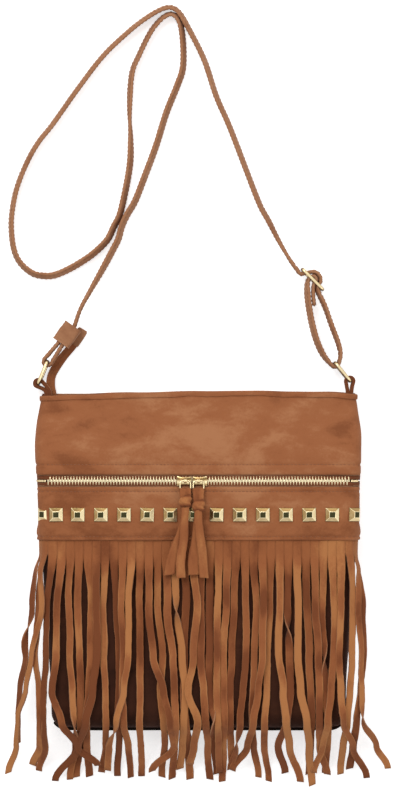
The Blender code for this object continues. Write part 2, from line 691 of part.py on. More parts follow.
def build_studs(gold):
    """A row of square pyramid studs with flat tops, along the band."""
    rings = (
        (STUD_SIDE, 0.0),
        (STUD_SIDE, STUD_SKIRT),
        (STUD_TOP, STUD_HEIGHT),
    )
    for number in range(STUD_COUNT):
        spot = STUDS_AT + (number - STUD_COUNT // 2) * STUD_PITCH
        if number == 0:
            spot += LEFT_STUD_INWARD
        if number == STUD_COUNT - 1:
            spot -= RIGHT_STUD_INWARD
        seat = max(outer_lift(abs(spot) + edge * STUD_SIDE / 2, STUD_Y) for edge in (-1, 0, 1))
        lift = seat + STUD_CLEARANCE
        middle, across, up, out = body_frame(spot, STUD_Y, lift)
        up = out.cross(across)
        shape = [
            [middle + across * a * side / 2 + up * b * side / 2 + out * height
             for a, b in ((-1, -1), (1, -1), (1, 1), (-1, 1))]
            for side, height in rings
        ]
        loft("stud_%02d" % (number + 1), shape, gold)


def strand_place(strand, drop):
    """A strand's sideways drift, and its height in the pile, at a drop below the slits."""
    drifts, length, layer = strand
    places = [(0, 0), *zip(STRAND_DROPS, drifts), (max(length, STRAND_DROPS[-1] + 4), drifts[-1])]
    return between(places, drop), layer * STRAND_LAYER * ease(drop / 16)


def fall_height(x, y):
    """The height at which a strand lies: on the panel, over its edge, and then on the floor."""
    off = math.hypot(max(0.0, abs(x) - BAND_HALF + SIDE_ROUNDING), max(0.0, BASE_ROUNDING - TOP - y))
    high = SEAM_HEIGHT + SEAM_GAP / 2 + FRONT_CROWN
    drape = high * (1 - ease(off / STRAND_SETTLE))
    inward = max(abs(x) - STRAND_MARGIN, 0.0)
    return max(drape, front_height(inward, y + BASE_MARGIN)) + FLOOR_LIFT + FRINGE_WALL / 2


def build_fringe(suede):
    """The fringe: a header tucked under the band, cut into strands that lie down the panel and over its edge."""
    bm = bmesh.new()
    lift = HEADER_LIFT - FRINGE_WALL / 2
    width = STRAND_PITCH - STRAND_CUT
    head_ys = (BAND_END_Y + HEADER_TUCK, BAND_END_Y, SLIT_Y)
    edge = []
    for number in range(len(STRANDS)):
        middle = FRINGE_AT + (number - (len(STRANDS) - 1) / 2) * STRAND_PITCH
        edge += [middle - width / 2, middle + width / 2]
    head = [[bm.verts.new(body_frame(s, y, lift)[0]) for s in edge] for y in head_ys]
    for upper, lower in zip(head, head[1:]):
        for k in range(len(edge) - 1):
            bm.faces.new((upper[k], lower[k], lower[k + 1], upper[k + 1]))
    for number, strand in enumerate(STRANDS):
        left, right = head[-1][2 * number], head[-1][2 * number + 1]
        spot = (edge[2 * number] + edge[2 * number + 1]) / 2
        for row in range(1, STRAND_ROWS):
            drop = strand[1] * row / (STRAND_ROWS - 1)
            y = SLIT_Y - drop
            drift, pile = strand_place(strand, drop)
            ahead = strand_place(strand, drop + 3)[0]
            held, across, _, out = body_frame(spot, max(y, -TOP + BASE_ROUNDING), lift + pile)
            x = on_section(SLIT_Y, spot, True).x + drift
            free = Vector((x, y, fall_height(x, y) + pile))
            slope = fall_height(x + 1.5, y) - fall_height(x - 1.5, y)
            side = Vector((3, ahead - drift, slope)).normalized()
            loose = ease(drop / 45)
            middle = held.lerp(free, loose)
            middle.x += drift * (1 - loose)
            middle.y = y
            half = across.lerp(side, loose).normalized() * width / 2
            pair = [bm.verts.new(middle - half), bm.verts.new(middle + half)]
            bm.faces.new((left, pair[0], pair[1], right))
            left, right = pair
    thicken(finish_mesh("fringe", bm, suede), FRINGE_WALL, 0.0)


def build_tabs(suede):
    """The tabs that hold the rings at the mouth's corners."""
    bend = RING_WIRE / 2 + LOOP_CLEARANCE + GAP + TAB_WALL / 2
    apart = TAB_WALL + GAP
    inset = MOUTH_HALF - PANEL_WALL - HEM_CLEARANCE - HEM_WALL - 2 * GAP - TAB_WALL / 2
    for name, foot, side, turn in (("tab_left", LEFT_FOOT, -1, (40, 220)), ("tab_right", RIGHT_FOOT, 1, (1, 181))):
        outer_x, inner_x = side * inset, side * (inset - apart)
        first, last = (outer_x, inner_x) if side < 0 else (inner_x, outer_x)
        down, mouth = TOP - TAB_DEPTH, TOP + 1
        bends = list(reversed(arc(foot, bend, *turn, 9)))
        points = [Vector((first, down)), Vector((first, mouth)), *bends, Vector((last, mouth)), Vector((last, down))]
        path = through(points, 6.0)
        count = len(path)
        band(name, path, [HARDWARE_HEIGHT] * count, [0] * count, TAB_WIDTH, TAB_WALL, suede)


def nearest(path, gone, place):
    """How far along a path the point nearest to a place lies."""
    return gone[min(range(len(path)), key=lambda k: (path[k] - place).length)]


def build_strap(suede, gold):
    """The strap in one piece, its rings, slide buckle and keeper."""
    ring_bend = RING_WIRE / 2 + LOOP_CLEARANCE + STRAP_WALL / 2
    sewn_bend = BUCKLE_BAR / 2 + LOOP_CLEARANCE + STRAP_WALL / 2
    over_bend = sewn_bend + STRAP_WALL + GAP
    toward = (KEEPER - LEFT_BAR).normalized()
    angle = math.degrees(math.atan2(toward.y, toward.x))
    side = Vector((-toward.y, toward.x)) * (STRAP_WALL + GAP) / 2
    sewn_end = [at_corner(1, p) for p in SEWN_END]
    around_bar = arc(BUCKLE, sewn_bend, -45, 135)
    left_strand = [at_corner(1, p) for p in reversed(LEFT_STRAND)]
    around_ring = arc(RIGHT_BAR, ring_bend, 242, 360)
    right_strand = [at_corner(1, p) for p in reversed(RIGHT_STRAND)]
    over_bar = arc(BUCKLE, over_bend, -45, 115)
    first_bar = BUCKLE - BUCKLE_WAY * (BUCKLE_SPAN / 2)
    past_bar = arc(first_bar, BUCKLE_WIRE / 2 + LOOP_CLEARANCE + STRAP_WALL / 2 + 0.6, -50, -130, 3)
    route = [at_mouth(p) for p in STRAP_ROUTE]
    around_left = arc(LEFT_BAR, ring_bend, angle - 90, angle - 270)
    points = [
        *sewn_end, *around_bar, *left_strand, *around_ring, *right_strand, *over_bar, *past_bar, *route,
        KEEPER + toward * ROUND_KEEPER - side, KEEPER - toward * BEHIND_KEEPER - side, *around_left,
        KEEPER - toward * BEHIND_KEEPER + side, KEEPER + toward * (ROUND_KEEPER - 1) + side,
    ]
    path = through(points, 9.0)
    gone = [0.0]
    for here, there in zip(path, path[1:]):
        gone.append(gone[-1] + (there - here).length)
    turn_at, first_free, last_free = (nearest(path, gone, p) for p in (at_mouth(LEAN_CHANGES_AT), route[0], route[-1]))
    heights, leans = [], []
    for place in gone:
        free = ease(min(place - first_free, last_free - place) / STRAP_RISE)
        lean = STRAP_LEAN * free * (1 - 2 * ease((place - turn_at) / 60 + 0.5))
        turn = math.radians(abs(lean))
        rest = FLOOR_LIFT + STRAP_WIDTH / 2 * math.cos(turn) + STRAP_WALL / 2 * math.sin(turn)
        heights.append(HARDWARE_HEIGHT + (rest - HARDWARE_HEIGHT) * free)
        leans.append(lean)
    band("strap", path, heights, leans, STRAP_WIDTH, STRAP_WALL, suede)

    wire_frame("ring_left", LEFT_FOOT, LEFT_BAR, RING_HEIGHT, RING_WIRE, gold)
    wire_frame("ring_right", RIGHT_FOOT, RIGHT_BAR, RING_HEIGHT, RING_WIRE, gold)
    half = BUCKLE_WAY * (BUCKLE_SPAN / 2)
    wire_frame("slide_buckle_frame", BUCKLE - half, BUCKLE + half, BUCKLE_HEIGHT, BUCKLE_WIRE, gold, 3.0)
    inner = BUCKLE_HEIGHT / 2 - BUCKLE_WIRE - GAP
    outline = [tuple(p) for p in arc(BUCKLE, BUCKLE_BAR / 2, 0, 315, 8)]
    prism("slide_buckle_bar", outline, 2, HARDWARE_HEIGHT - inner, HARDWARE_HEIGHT + inner, gold)

    low, wall = HARDWARE_HEIGHT - STRAP_WIDTH / 2, KEEPER_WALL
    bottom, top = low - GAP - wall, low + STRAP_WIDTH + GAP + wall
    across = Vector((-toward.y, toward.x, 0)) * KEEPER_WIDTH / 2
    inner_across = across * (1 - 2 * wall / KEEPER_WIDTH)
    rings = []
    for end in (-1, 1):
        middle = KEEPER + toward * end * KEEPER_LENGTH / 2
        rings.append([Vector((*middle, z)) + across * a for a, z in ((-1, bottom), (1, bottom), (1, top), (-1, top))])
    for end in (1, -1):
        middle = KEEPER + toward * end * KEEPER_LENGTH / 2
        corners = ((-1, bottom + wall), (1, bottom + wall), (1, top - wall), (-1, top - wall))
        rings.append([Vector((*middle, z)) + inner_across * a for a, z in corners])
    loft("strap_keeper", rings, suede, closed=True)


def build_main_zip(tape, gold):
    """The zip inside the mouth: a tape on each side, the slider parked at the right, and the tail at the left."""
    ys = stations(TOP - MAIN_ZIP_TOP, TOP - MAIN_ZIP_DEPTH)
    lift = -PANEL_WALL - 2 * HEM_CLEARANCE - HEM_WALL
    for name, front in (("main_zip_front", True), ("main_zip_back", False)):
        skin(name, tape, ys, lambda s, y: lift, TAPE_WALL, front, reach=MOUTH_HALF - MAIN_ZIP_INSET)
    back = -lift + TAPE_WALL + GAP
    _, depth, height = MAIN_SLIDER_SIZE
    centre = (MOUTH_HALF - MAIN_SLIDER_INSET, TOP - MAIN_ZIP_TOP - depth / 2, back + height / 2)
    block("main_zip_slider", centre, MAIN_SLIDER_SIZE, gold)
    path = through([at_corner(-1, p) for p in ZIP_TAIL], 6.0)
    rings = []
    for k, point in enumerate(path):
        along = path[min(k + 1, len(path) - 1)] - path[max(k - 1, 0)]
        side = Vector((-along.y, along.x, 0)).normalized() * TAIL_WIDTH / 2
        up = Vector((0, 0, TAIL_WALL / 2))
        rings.append([point - side - up, point + side - up, point + side + up, point - side + up])
    loft("zip_end_tab", rings, tape)


def build():
    """Makes the whole bag."""
    for obj in list(bpy.data.objects):
        bpy.data.objects.remove(obj)
    suede = material("suede", (0.37, 0.14, 0.05), 0.9)
    fringe_suede = material("fringe_suede", (0.3, 0.1, 0.035), 0.9)
    strap_suede = material("strap_suede", (0.4, 0.17, 0.08), 0.85)
    dark = material("piping", (0.03, 0.02, 0.015), 0.8)
    cloth = material("lining_cloth", (0.2, 0.1, 0.05), 0.9)
    tape = material("zip_tape", (0.3, 0.13, 0.06), 0.8)
    gold = material("gold", (0.8, 0.6, 0.3), 0.25, 1.0)
    build_panels(suede, dark, cloth)
    build_front_zip(tape, gold)
    for side, sign in (("left", -1), ("right", 1)):
        at = SLIDERS_AT + sign * SLIDERS_APART / 2
        pull_at = SLIDERS_AT + sign * PULLS_APART / 2
        build_slider("front_zip_slider_" + side, at, pull_at, gold)
        build_pull(side, pull_at, gold, suede)
    build_studs(gold)
    build_fringe(fringe_suede)
    build_tabs(strap_suede)
    build_strap(strap_suede, gold)
    build_main_zip(tape, gold)


if __name__ == "__main__":
    build()
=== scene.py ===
"""Dresses a fringed suede bag that lies on its back: suede, gold metal, stitching, zip teeth and fringe."""

import functools
import logging
import math
from dataclasses import dataclass, field
from enum import Enum
from typing import Callable, Iterable, Mapping, Sequence

import bmesh
import bpy
import numpy as np
from mathutils import Matrix, Vector, noise

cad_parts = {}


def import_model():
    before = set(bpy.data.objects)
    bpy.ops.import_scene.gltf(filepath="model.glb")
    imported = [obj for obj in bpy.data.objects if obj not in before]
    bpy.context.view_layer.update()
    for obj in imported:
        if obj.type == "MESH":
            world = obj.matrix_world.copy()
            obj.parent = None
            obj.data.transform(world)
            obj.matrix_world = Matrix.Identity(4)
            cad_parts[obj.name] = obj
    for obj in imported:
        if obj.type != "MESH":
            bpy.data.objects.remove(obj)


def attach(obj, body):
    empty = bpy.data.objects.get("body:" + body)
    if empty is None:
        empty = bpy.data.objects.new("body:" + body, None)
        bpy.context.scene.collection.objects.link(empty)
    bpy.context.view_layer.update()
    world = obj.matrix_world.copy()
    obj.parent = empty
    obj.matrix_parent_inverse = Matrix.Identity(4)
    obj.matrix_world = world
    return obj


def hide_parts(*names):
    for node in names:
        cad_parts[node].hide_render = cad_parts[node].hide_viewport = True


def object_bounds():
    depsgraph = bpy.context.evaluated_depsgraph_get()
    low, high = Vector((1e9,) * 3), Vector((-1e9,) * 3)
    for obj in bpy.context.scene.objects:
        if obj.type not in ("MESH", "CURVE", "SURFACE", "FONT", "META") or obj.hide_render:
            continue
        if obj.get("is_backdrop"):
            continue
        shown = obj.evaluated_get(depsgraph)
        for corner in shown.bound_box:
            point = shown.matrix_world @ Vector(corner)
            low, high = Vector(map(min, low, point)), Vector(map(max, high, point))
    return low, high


logger = logging.getLogger("fringed_bag")

# Every size below is in millimetres, and a finished mesh is in metres
MM = 0.001
TOP = 150.0
MOUTH_HALF = 140.0
BMesh = bmesh.types.BMesh
Place = Callable[[float, float], Vector]
Height = Callable[[float, float], float]
Point = tuple[float, float]
Colour = tuple[float, float, float]

# The left and the right pull ring's middle across the bag
PULLS_X: tuple[float, float] = (-11.6, 0.0)

# The strap's route from the buckle to the keeper, measured from the middle of the mouth
STRAP_ROUTE: tuple[Point, ...] = (
    (88, 110), (81, 120), (72, 136), (63, 154), (54, 171), (29, 236), (16, 266), (5, 299),
    (-10, 329), (-18, 342), (-26, 346), (-36, 343), (-49, 335), (-63, 324), (-86, 302), (-109, 272),
    (-131, 241), (-143, 226), (-152, 211), (-160, 193), (-165, 177), (-168, 158), (-168, 143), (-166, 129),
    (-162, 119), (-156, 112), (-149, 107), (-142, 105), (-131, 105), (-118, 110), (-104, 118), (-93, 126),
    (-82, 137), (-76, 149), (-70, 162), (-62, 202), (-61, 228), (-62, 254), (-60, 286), (-53, 304),
    (-43, 324), (-33, 336), (-24, 340), (-17, 333), (-14, 315), (-14, 292), (-19, 276), (-29, 251),
    (-38, 222), (-48, 195), (-57, 172), (-64, 160), (-69, 149), (-72, 138), (-77, 128), (-86, 111),
    (-97, 91), (-106, 74),
)
LEAN_CHANGES_AT = (-61, 240)

# The strap's strands between the buckle and the right ring, and the zip's tail, from the corners of the mouth
RIGHT_STRAND: tuple[Point, ...] = ((-33.4, 91), (-27, 77), (-21, 60), (-15, 44), (-13, 34))
LEFT_STRAND: tuple[Point, ...] = ((-28, 33), (-34.5, 47), (-39, 64), (-42.1, 83), (-42.7, 97))
SEWN_END: tuple[Point, ...] = ((-36.3, 77), (-37.4, 87), (-37.2, 95.5))
ZIP_TAIL = (
    (21, -11, 5.6), (11, -7, 5.8), (8.2, 0, 6.6), (7, 8, 5.0), (8.5, 17, 1.8), (16.5, 30, 1.3),
    (25.5, 41, 1.3), (32, 50, 1.3), (36.2, 57, 1.3),
)

# Each strand's drift aside at five drops below its slit and at its end, its length, and its layer in the pile
STRAND_DROPS = (45, 90, 120, 148, 173)
STRANDS: tuple[tuple[tuple[int, ...], int, int], ...] = (
    ((-7, -14, -19, -21, -22, -22), 171, 2),
    ((-4, -6, -3, -2, -4, -11), 192, 0),
    ((-3, -12, -17, -25, -28, -36), 199, 3),
    ((-5, -6, -8, -9, -8, -15), 197, 1),
    ((-3, -5, -8, 0, 13, 31), 191, 4),
    ((-2, 0, 2, 4, 3, -3), 205, 1),
    ((-1, 0, 1, 1, 0, -4), 203, 0),
    ((4, 3, 1, -1, -2, -1), 202, 2),
    ((0, 0, -3, -10, -17, -39), 206, 3),
    ((-2, -1, 0, 1, 0, -5), 198, 1),
    ((2, 4, 4, 4, 4, 2), 202, 0),
    ((-1, 0, -1, 1, 4, 6), 203, 2),
    ((-2, -3, -7, -14, -21, -22), 196, 3),
    ((0, 0, 0, 0, 0, 0), 202, 1),
    ((0, 4, 13, 18, 22, 2), 197, 3),
    ((0, 4, 2, 5, 6, 3), 203, 0),
    ((1, 6, 8, 8, 7, 5), 204, 2),
    ((1, 6, 9, 8, 6, 4), 195, 1),
    ((2, 0, 0, 1, 4, 5), 205, 0),
    ((4, 1, -4, 5, 1, -2), 190, 2),
    ((-1, 0, 2, 4, 6, 8), 205, 1),
    ((0, 0, 0, 3, 4, 6), 200, 0),
    ((-1, -1, -1, -1, 0, 1), 198, 2),
    ((-1, -4, -4, -2, -3, -4), 207, 1),
    ((-2, -4, -5, -5, -4, -4), 196, 0),
    ((1, 1, -1, -4, -8, -13), 195, 2),
    ((2, 1, 0, -1, 1, 6), 203, 1),
    ((1, 0, -3, -8, -13, -26), 196, 3),
    ((-2, -3, -3, -6, -5, -1), 207, 0),
    ((0, -1, 3, 6, 10, 20), 207, 2),
    ((-1, 1, 2, -1, -8, -2), 199, 1),
    ((0, 1, 3, 8, 12, 15), 210, 3),
    ((1, 3, 4, 5, 5, 4), 200, 0),
    ((1, 3, 4, 5, 6, 13), 200, 2),
    ((-1, 0, 2, 4, 5, 4), 199, 1),
    ((2, 1, -1, -4, -8, -14), 198, 3),
    ((0, -2, -1, 2, 12, 25), 203, 4),
    ((3, 3, 1, -2, -4, -5), 200, 1),
    ((4, 7, 7, 7, 21, 33), 195, 2),
    ((6, 7, 4, 1, -2, -4), 195, 0),
)


class Side(Enum):
    """The left or the right of the bag."""

    LEFT = -1
    RIGHT = 1

    @property
    def word(self) -> str:
        """The side's name in a piece's name."""
        return self.name.lower()


def ease(share: float) -> float:
    """A smooth step from 0 to 1."""
    share = min(max(share, 0.0), 1.0)
    return share * share * (3 - 2 * share)


def blend(low: float, high: float, share: float) -> float:
    """A value part of the way between two others."""
    return low + (high - low) * share


def between(places: Sequence[Point], at: float) -> float:
    """Reads a value smoothly between places.

    Args:
        places: Pairs of a distance and its value, in rising order of distance.
        at: The distance to read at.

    Returns:
        The value there.
    """
    if at <= places[0][0]:
        return places[0][1]
    for (low, first), (high, last) in zip(places, places[1:]):
        if at <= high:
            return blend(first, last, ease((at - low) / (high - low)))
    return places[-1][1]


def waver(seed: float, at: float, scale: float) -> float:
    """A smooth fixed wander between about -1 and 1 along one distance."""
    return 1.6 * noise.noise(Vector((at / scale, seed * 7.31, seed * 1.7)))


def cloud(seed: float, x: float, y: float, scale: float) -> float:
    """A smooth fixed wander between about -1 and 1 over a surface."""
    return 1.6 * noise.noise(Vector((x / scale, y / scale, seed * 3.77)))


def chance(seed: float) -> float:
    """A fixed number from 0 to 1 for a seed."""
    return math.sin(seed * 127.1 + 31.7) * 43758.5453 % 1.0


def hump(off: float, wide: float) -> float:
    """A smooth bump of height 1 at 0, faded out at twice its width."""
    return math.exp(-((off / wide) ** 2))


def squarer(wave: float, power: float) -> float:
    """A sine or cosine raised to a power below 1, which brings a round section nearer to a square one."""
    return math.copysign(abs(wave) ** power, wave)


def leftward(way: Vector) -> Vector:
    """The level direction to the left of a direction of travel."""
    return Vector((-way.y, way.x, 0)).normalized()


def stood(spot: Sequence[float], across: Vector, up: Vector, out: Vector) -> Matrix:
    """The place of something that stands at a spot, with its own three directions."""
    return Matrix.Translation(spot) @ Matrix((across, up, out)).transposed().to_4x4()


def at_mouth(point: Sequence[float]) -> Vector:
    """A place given from the middle of the mouth, as one given from the origin."""
    return Vector((point[0], point[1] + TOP, *point[2:]))


def at_corner(side: int, point: Sequence[float]) -> Vector:
    """A place given from the mouth's left corner (side -1) or right one (side 1), as one from the origin."""
    return Vector((point[0] + side * MOUTH_HALF, point[1] + TOP, *point[2:]))


def arc(centre: Vector, radius: float, start: float, stop: float, count: int = 9) -> list[Vector]:
    """Points on a round bend.

    Args:
        centre: The bend's centre in plan.
        radius: Its radius.
        start: The first angle in degrees.
        stop: The last angle in degrees.
        count: How many points.

    Returns:
        The points in order.
    """
    turns = [math.radians(blend(start, stop, k / (count - 1))) for k in range(count)]
    return [centre + radius * Vector((math.cos(turn), math.sin(turn))) for turn in turns]


class Path:
    """A smooth curve through points, read by distance."""

    def __init__(self, points: Iterable[Sequence[float]], steps: int = 12) -> None:
        """Runs a Catmull-Rom curve through the points."""
        given = [Vector(point).to_3d() for point in points]
        ends = [given[0] * 2 - given[1], *given, given[-1] * 2 - given[-2]]
        self.points: list[Vector] = []
        for before, start, stop, after in zip(ends, ends[1:], ends[2:], ends[3:]):
            pull = 1.5 * (stop - start).length
            leave, arrive = (stop - before) / 2, (after - start) / 2
            leave *= min(1.0, pull / max(leave.length, 0.001))
            arrive *= min(1.0, pull / max(arrive.length, 0.001))
            for step in range(steps):
                t = step / steps
                bow = leave * t * (1 - t) ** 2 - arrive * t**2 * (1 - t)
                self.points.append(start.lerp(stop, ease(t)) + bow)
        self.points.append(given[-1])
        self.gone = [0.0]
        for here, there in zip(self.points, self.points[1:]):
            self.gone.append(self.gone[-1] + (there - here).length)

    @property
    def length(self) -> float:
        """The curve's whole length."""
        return self.gone[-1]

    def at(self, distance: float) -> Vector:
        """The point at a distance along the curve."""
        distance = min(max(distance, 0.0), self.length)
        low, high = 0, len(self.gone) - 1
        while high - low > 1:
            middle = (low + high) // 2
            low, high = (middle, high) if self.gone[middle] <= distance else (low, middle)
        span = self.gone[high] - self.gone[low]
        return self.points[low].lerp(self.points[high], (distance - self.gone[low]) / span if span else 0.0)

    def way(self, distance: float, reach: float = 1.5) -> Vector:
        """The direction of travel at a distance along the curve."""
        return (self.at(distance + reach) - self.at(distance - reach)).normalized()

    def turn(self, distance: float, reach: float = 8.0) -> float:
        """How sharply the curve turns left in plan at a distance, in radians for each millimetre."""
        before, after = self.way(distance - reach), self.way(distance + reach)
        return math.atan2(before.x * after.y - before.y * after.x, before.dot(after)) / (2 * reach)

    def nearest(self, place: Vector) -> float:
        """How far along the curve the point nearest to a place lies."""
        place = place.to_3d()
        return self.gone[min(range(len(self.points)), key=lambda k: (self.points[k] - place).length_squared)]


class Maker:
    """Shapes bmeshes in millimetres and turns them into finished pieces."""

    @staticmethod
    def finish(name: str, bm: BMesh, materials: Sequence[bpy.types.Material], body: str = "bag",
               nodes: Sequence[str] = (), slot: str = "", sharp: float = 40.0) -> bpy.types.Object:
        """Makes an object, dresses it and ties it to the frame.

        Args:
            name: The piece's name.
            bm: Its bmesh, which is freed.
            materials: Its materials, the main one first.
            body: The body that it rides on.
            nodes: The nodes that it stands for.
            slot: The record's material slot.
            sharp: The angle in degrees past which an edge stays sharp.

        Returns:
            The object.
        """
        bmesh.ops.scale(bm, vec=(MM, MM, MM), verts=bm.verts)
        mesh = bpy.data.meshes.new(name)
        bm.to_mesh(mesh)
        bm.free()
        for material in materials:
            mesh.materials.append(material)
        mesh.shade_smooth()
        mesh.set_sharp_from_angle(angle=math.radians(sharp))
        # Painted reflection for gold pieces without their own tone: darker bands where the surface turns away
        # from straight up, and darker on faces turned down the bag.
        if slot == "gold" and "tone" not in mesh.attributes:
            tones = mesh.attributes.new("tone", "FLOAT", "POINT")
            for vert, tone in zip(mesh.vertices, tones.data):
                normal = vert.normal
                shade = 0.85 * hump(normal.z - 0.42, 0.2) + ease((0.4 - normal.z) / 0.3)
                tone.value = min(1.0, shade + 0.35 * max(0.0, -0.3 - normal.y))
        obj = bpy.data.objects.new(name, mesh)
        bpy.context.scene.collection.objects.link(obj)
        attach(obj, body)
        if nodes:
            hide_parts(*nodes)
        logger.info("%s: %d faces", name, len(mesh.polygons))
        return obj

    @staticmethod
    def thicken(obj: bpy.types.Object, wall: float, offset: float = -1.0, rounded: float = 0.0) -> None:
        """Thickens a sheet, gives its cut edge its last material, and rounds the edge if asked.

        Args:
            obj: The sheet.
            wall: How thick it becomes.
            offset: -1 to thicken it inward, 0 to both sides.
            rounded: How far its edges are rounded.
        """
        solid = obj.modifiers.new("thickness", "SOLIDIFY")
        solid.thickness = wall * MM
        solid.offset = offset
        solid.material_offset_rim = len(obj.data.materials) - 1
        if rounded:
            bevel = obj.modifiers.new("edges", "BEVEL")
            bevel.width = rounded * MM
            bevel.segments = 2
            bevel.limit_method = "ANGLE"
            bevel.angle_limit = math.radians(50)

    @staticmethod
    def sheet(columns: int, rows: int, place: Place, bm: BMesh | None = None) -> BMesh:
        """A grid whose points are put in place by their shares across and up.

        Args:
            columns: How many faces across.
            rows: How many faces up.
            place: Gives a point for its share across and its share up.
            bm: A bmesh to add the grid to.

        Returns:
            The bmesh.
        """
        bm = bm or bmesh.new()
        layer = bm.loops.layers.uv.verify()
        made = bmesh.ops.create_grid(bm, x_segments=columns, y_segments=rows, size=0.5)
        for vert in made["verts"]:
            across, up = vert.co.x + 0.5, vert.co.y + 0.5
            for loop in vert.link_loops:
                loop[layer].uv = (across, up)
            vert.co = place(across, up)
        return bm

    @classmethod
    def tube(cls, around: int, rows: int, place: Place, closed: bool = False,
             bm: BMesh | None = None) -> BMesh:
        """A grid rolled into a tube, with its ends filled or joined.

        Args:
            around: How many faces round it.
            rows: How many faces along it.
            place: Gives a point for its share round and its share along.
            closed: Whether the ends meet each other.
            bm: A bmesh to add the tube to.

        Returns:
            The bmesh.
        """
        bm = bm or bmesh.new()
        before = set(bm.verts)
        cls.sheet(around, rows, place, bm)
        bmesh.ops.remove_doubles(bm, verts=[vert for vert in bm.verts if vert not in before], dist=0.001)
        fresh = [vert for vert in bm.verts if vert not in before]
        if not closed:
            rims = {edge for vert in fresh for edge in vert.link_edges if len(edge.link_faces) == 1}
            bmesh.ops.holes_fill(bm, edges=list(rims), sides=0)
        bmesh.ops.recalc_face_normals(bm, faces=list({face for vert in fresh for face in vert.link_faces}))
        return bm

    @classmethod
    def wire(cls, centres: Sequence[Vector], thick: float, closed: bool = True, around: int = 12,
             bm: BMesh | None = None) -> BMesh:
        """A round wire through centres.

        Args:
            centres: Points along its middle, evenly enough spaced.
            thick: Its diameter.
            closed: Whether it is a ring.
            around: How many faces round it.
            bm: A bmesh to add it to.

        Returns:
            The bmesh.
        """
        count = len(centres)
        steps = count if closed else count - 1
        middle = sum(centres, Vector((0, 0, 0))) / count
        plane = (centres[0] - middle).cross(centres[count // 4] - middle).normalized()

        def place(turn: float, along: float) -> Vector:
            """A point on the wire's skin."""
            k = round(along * steps)
            ahead = centres[(k + 1) % count] if closed or k < count - 1 else centres[k]
            behind = centres[(k - 1) % count] if closed or k > 0 else centres[k]
            way = (ahead - behind).normalized()
            side = way.cross(plane).normalized()
            angle = turn * 2 * math.pi
            skin = side * math.cos(angle) + side.cross(way) * math.sin(angle)
            return centres[k % count] + thick / 2 * skin

        return cls.tube(around, steps, place, closed, bm)

    @staticmethod
    def block(bm: BMesh, size: Sequence[float], place: Matrix, rounded: float = 0.0,
              segments: int = 2) -> list[bmesh.types.BMVert]:
        """A box, with its edges rounded if asked.

        Args:
            bm: The bmesh to add it to.
            size: Its three sides.
            place: Where it stands.
            rounded: How far its edges are rounded.
            segments: How many faces round each edge.

        Returns:
            Its points.
        """
        made = bmesh.ops.create_cube(bm, size=1.0, matrix=place @ Matrix.Diagonal((*size, 1)))
        verts = made["verts"]
        if rounded:
            edges = list({edge for vert in verts for edge in vert.link_edges})
            done = bmesh.ops.bevel(bm, geom=edges, offset=rounded, segments=segments, profile=0.5,
                                   affect="EDGES", material=-1)
            verts = done["verts"]
        return verts


@dataclass(frozen=True)
class Signal:
    """A node's output that can be added, multiplied and shaped."""

    surface: "Surface"
    socket: bpy.types.NodeSocket

    def _math(self, operation: str, first: "Signal | float", second: "Signal | float" = 0.0) -> "Signal":
        """One Math node on two values."""
        node = self.surface.node("ShaderNodeMath", {"operation": operation}, {0: first, 1: second})
        return Signal(self.surface, node.outputs[0])

    def __add__(self, other: "Signal | float") -> "Signal":
        """The sum of two values."""
        return self._math("ADD", self, other)

    def __sub__(self, other: "Signal | float") -> "Signal":
        """The difference of two values."""
        return self._math("SUBTRACT", self, other)

    def __mul__(self, other: "Signal | float") -> "Signal":
        """The product of two values."""
        return self._math("MULTIPLY", self, other)

    def wave(self) -> "Signal":
        """The sine of this value."""
        return self._math("SINE", self)

    def fit(self, low: float, high: float) -> "Signal":
        """This value taken from low..high to 0..1, kept within it."""
        node = self.surface.node("ShaderNodeMapRange", {"interpolation_type": "SMOOTHSTEP"},
                                 {"Value": self, "From Min": low, "From Max": high})
        return Signal(self.surface, node.outputs["Result"])


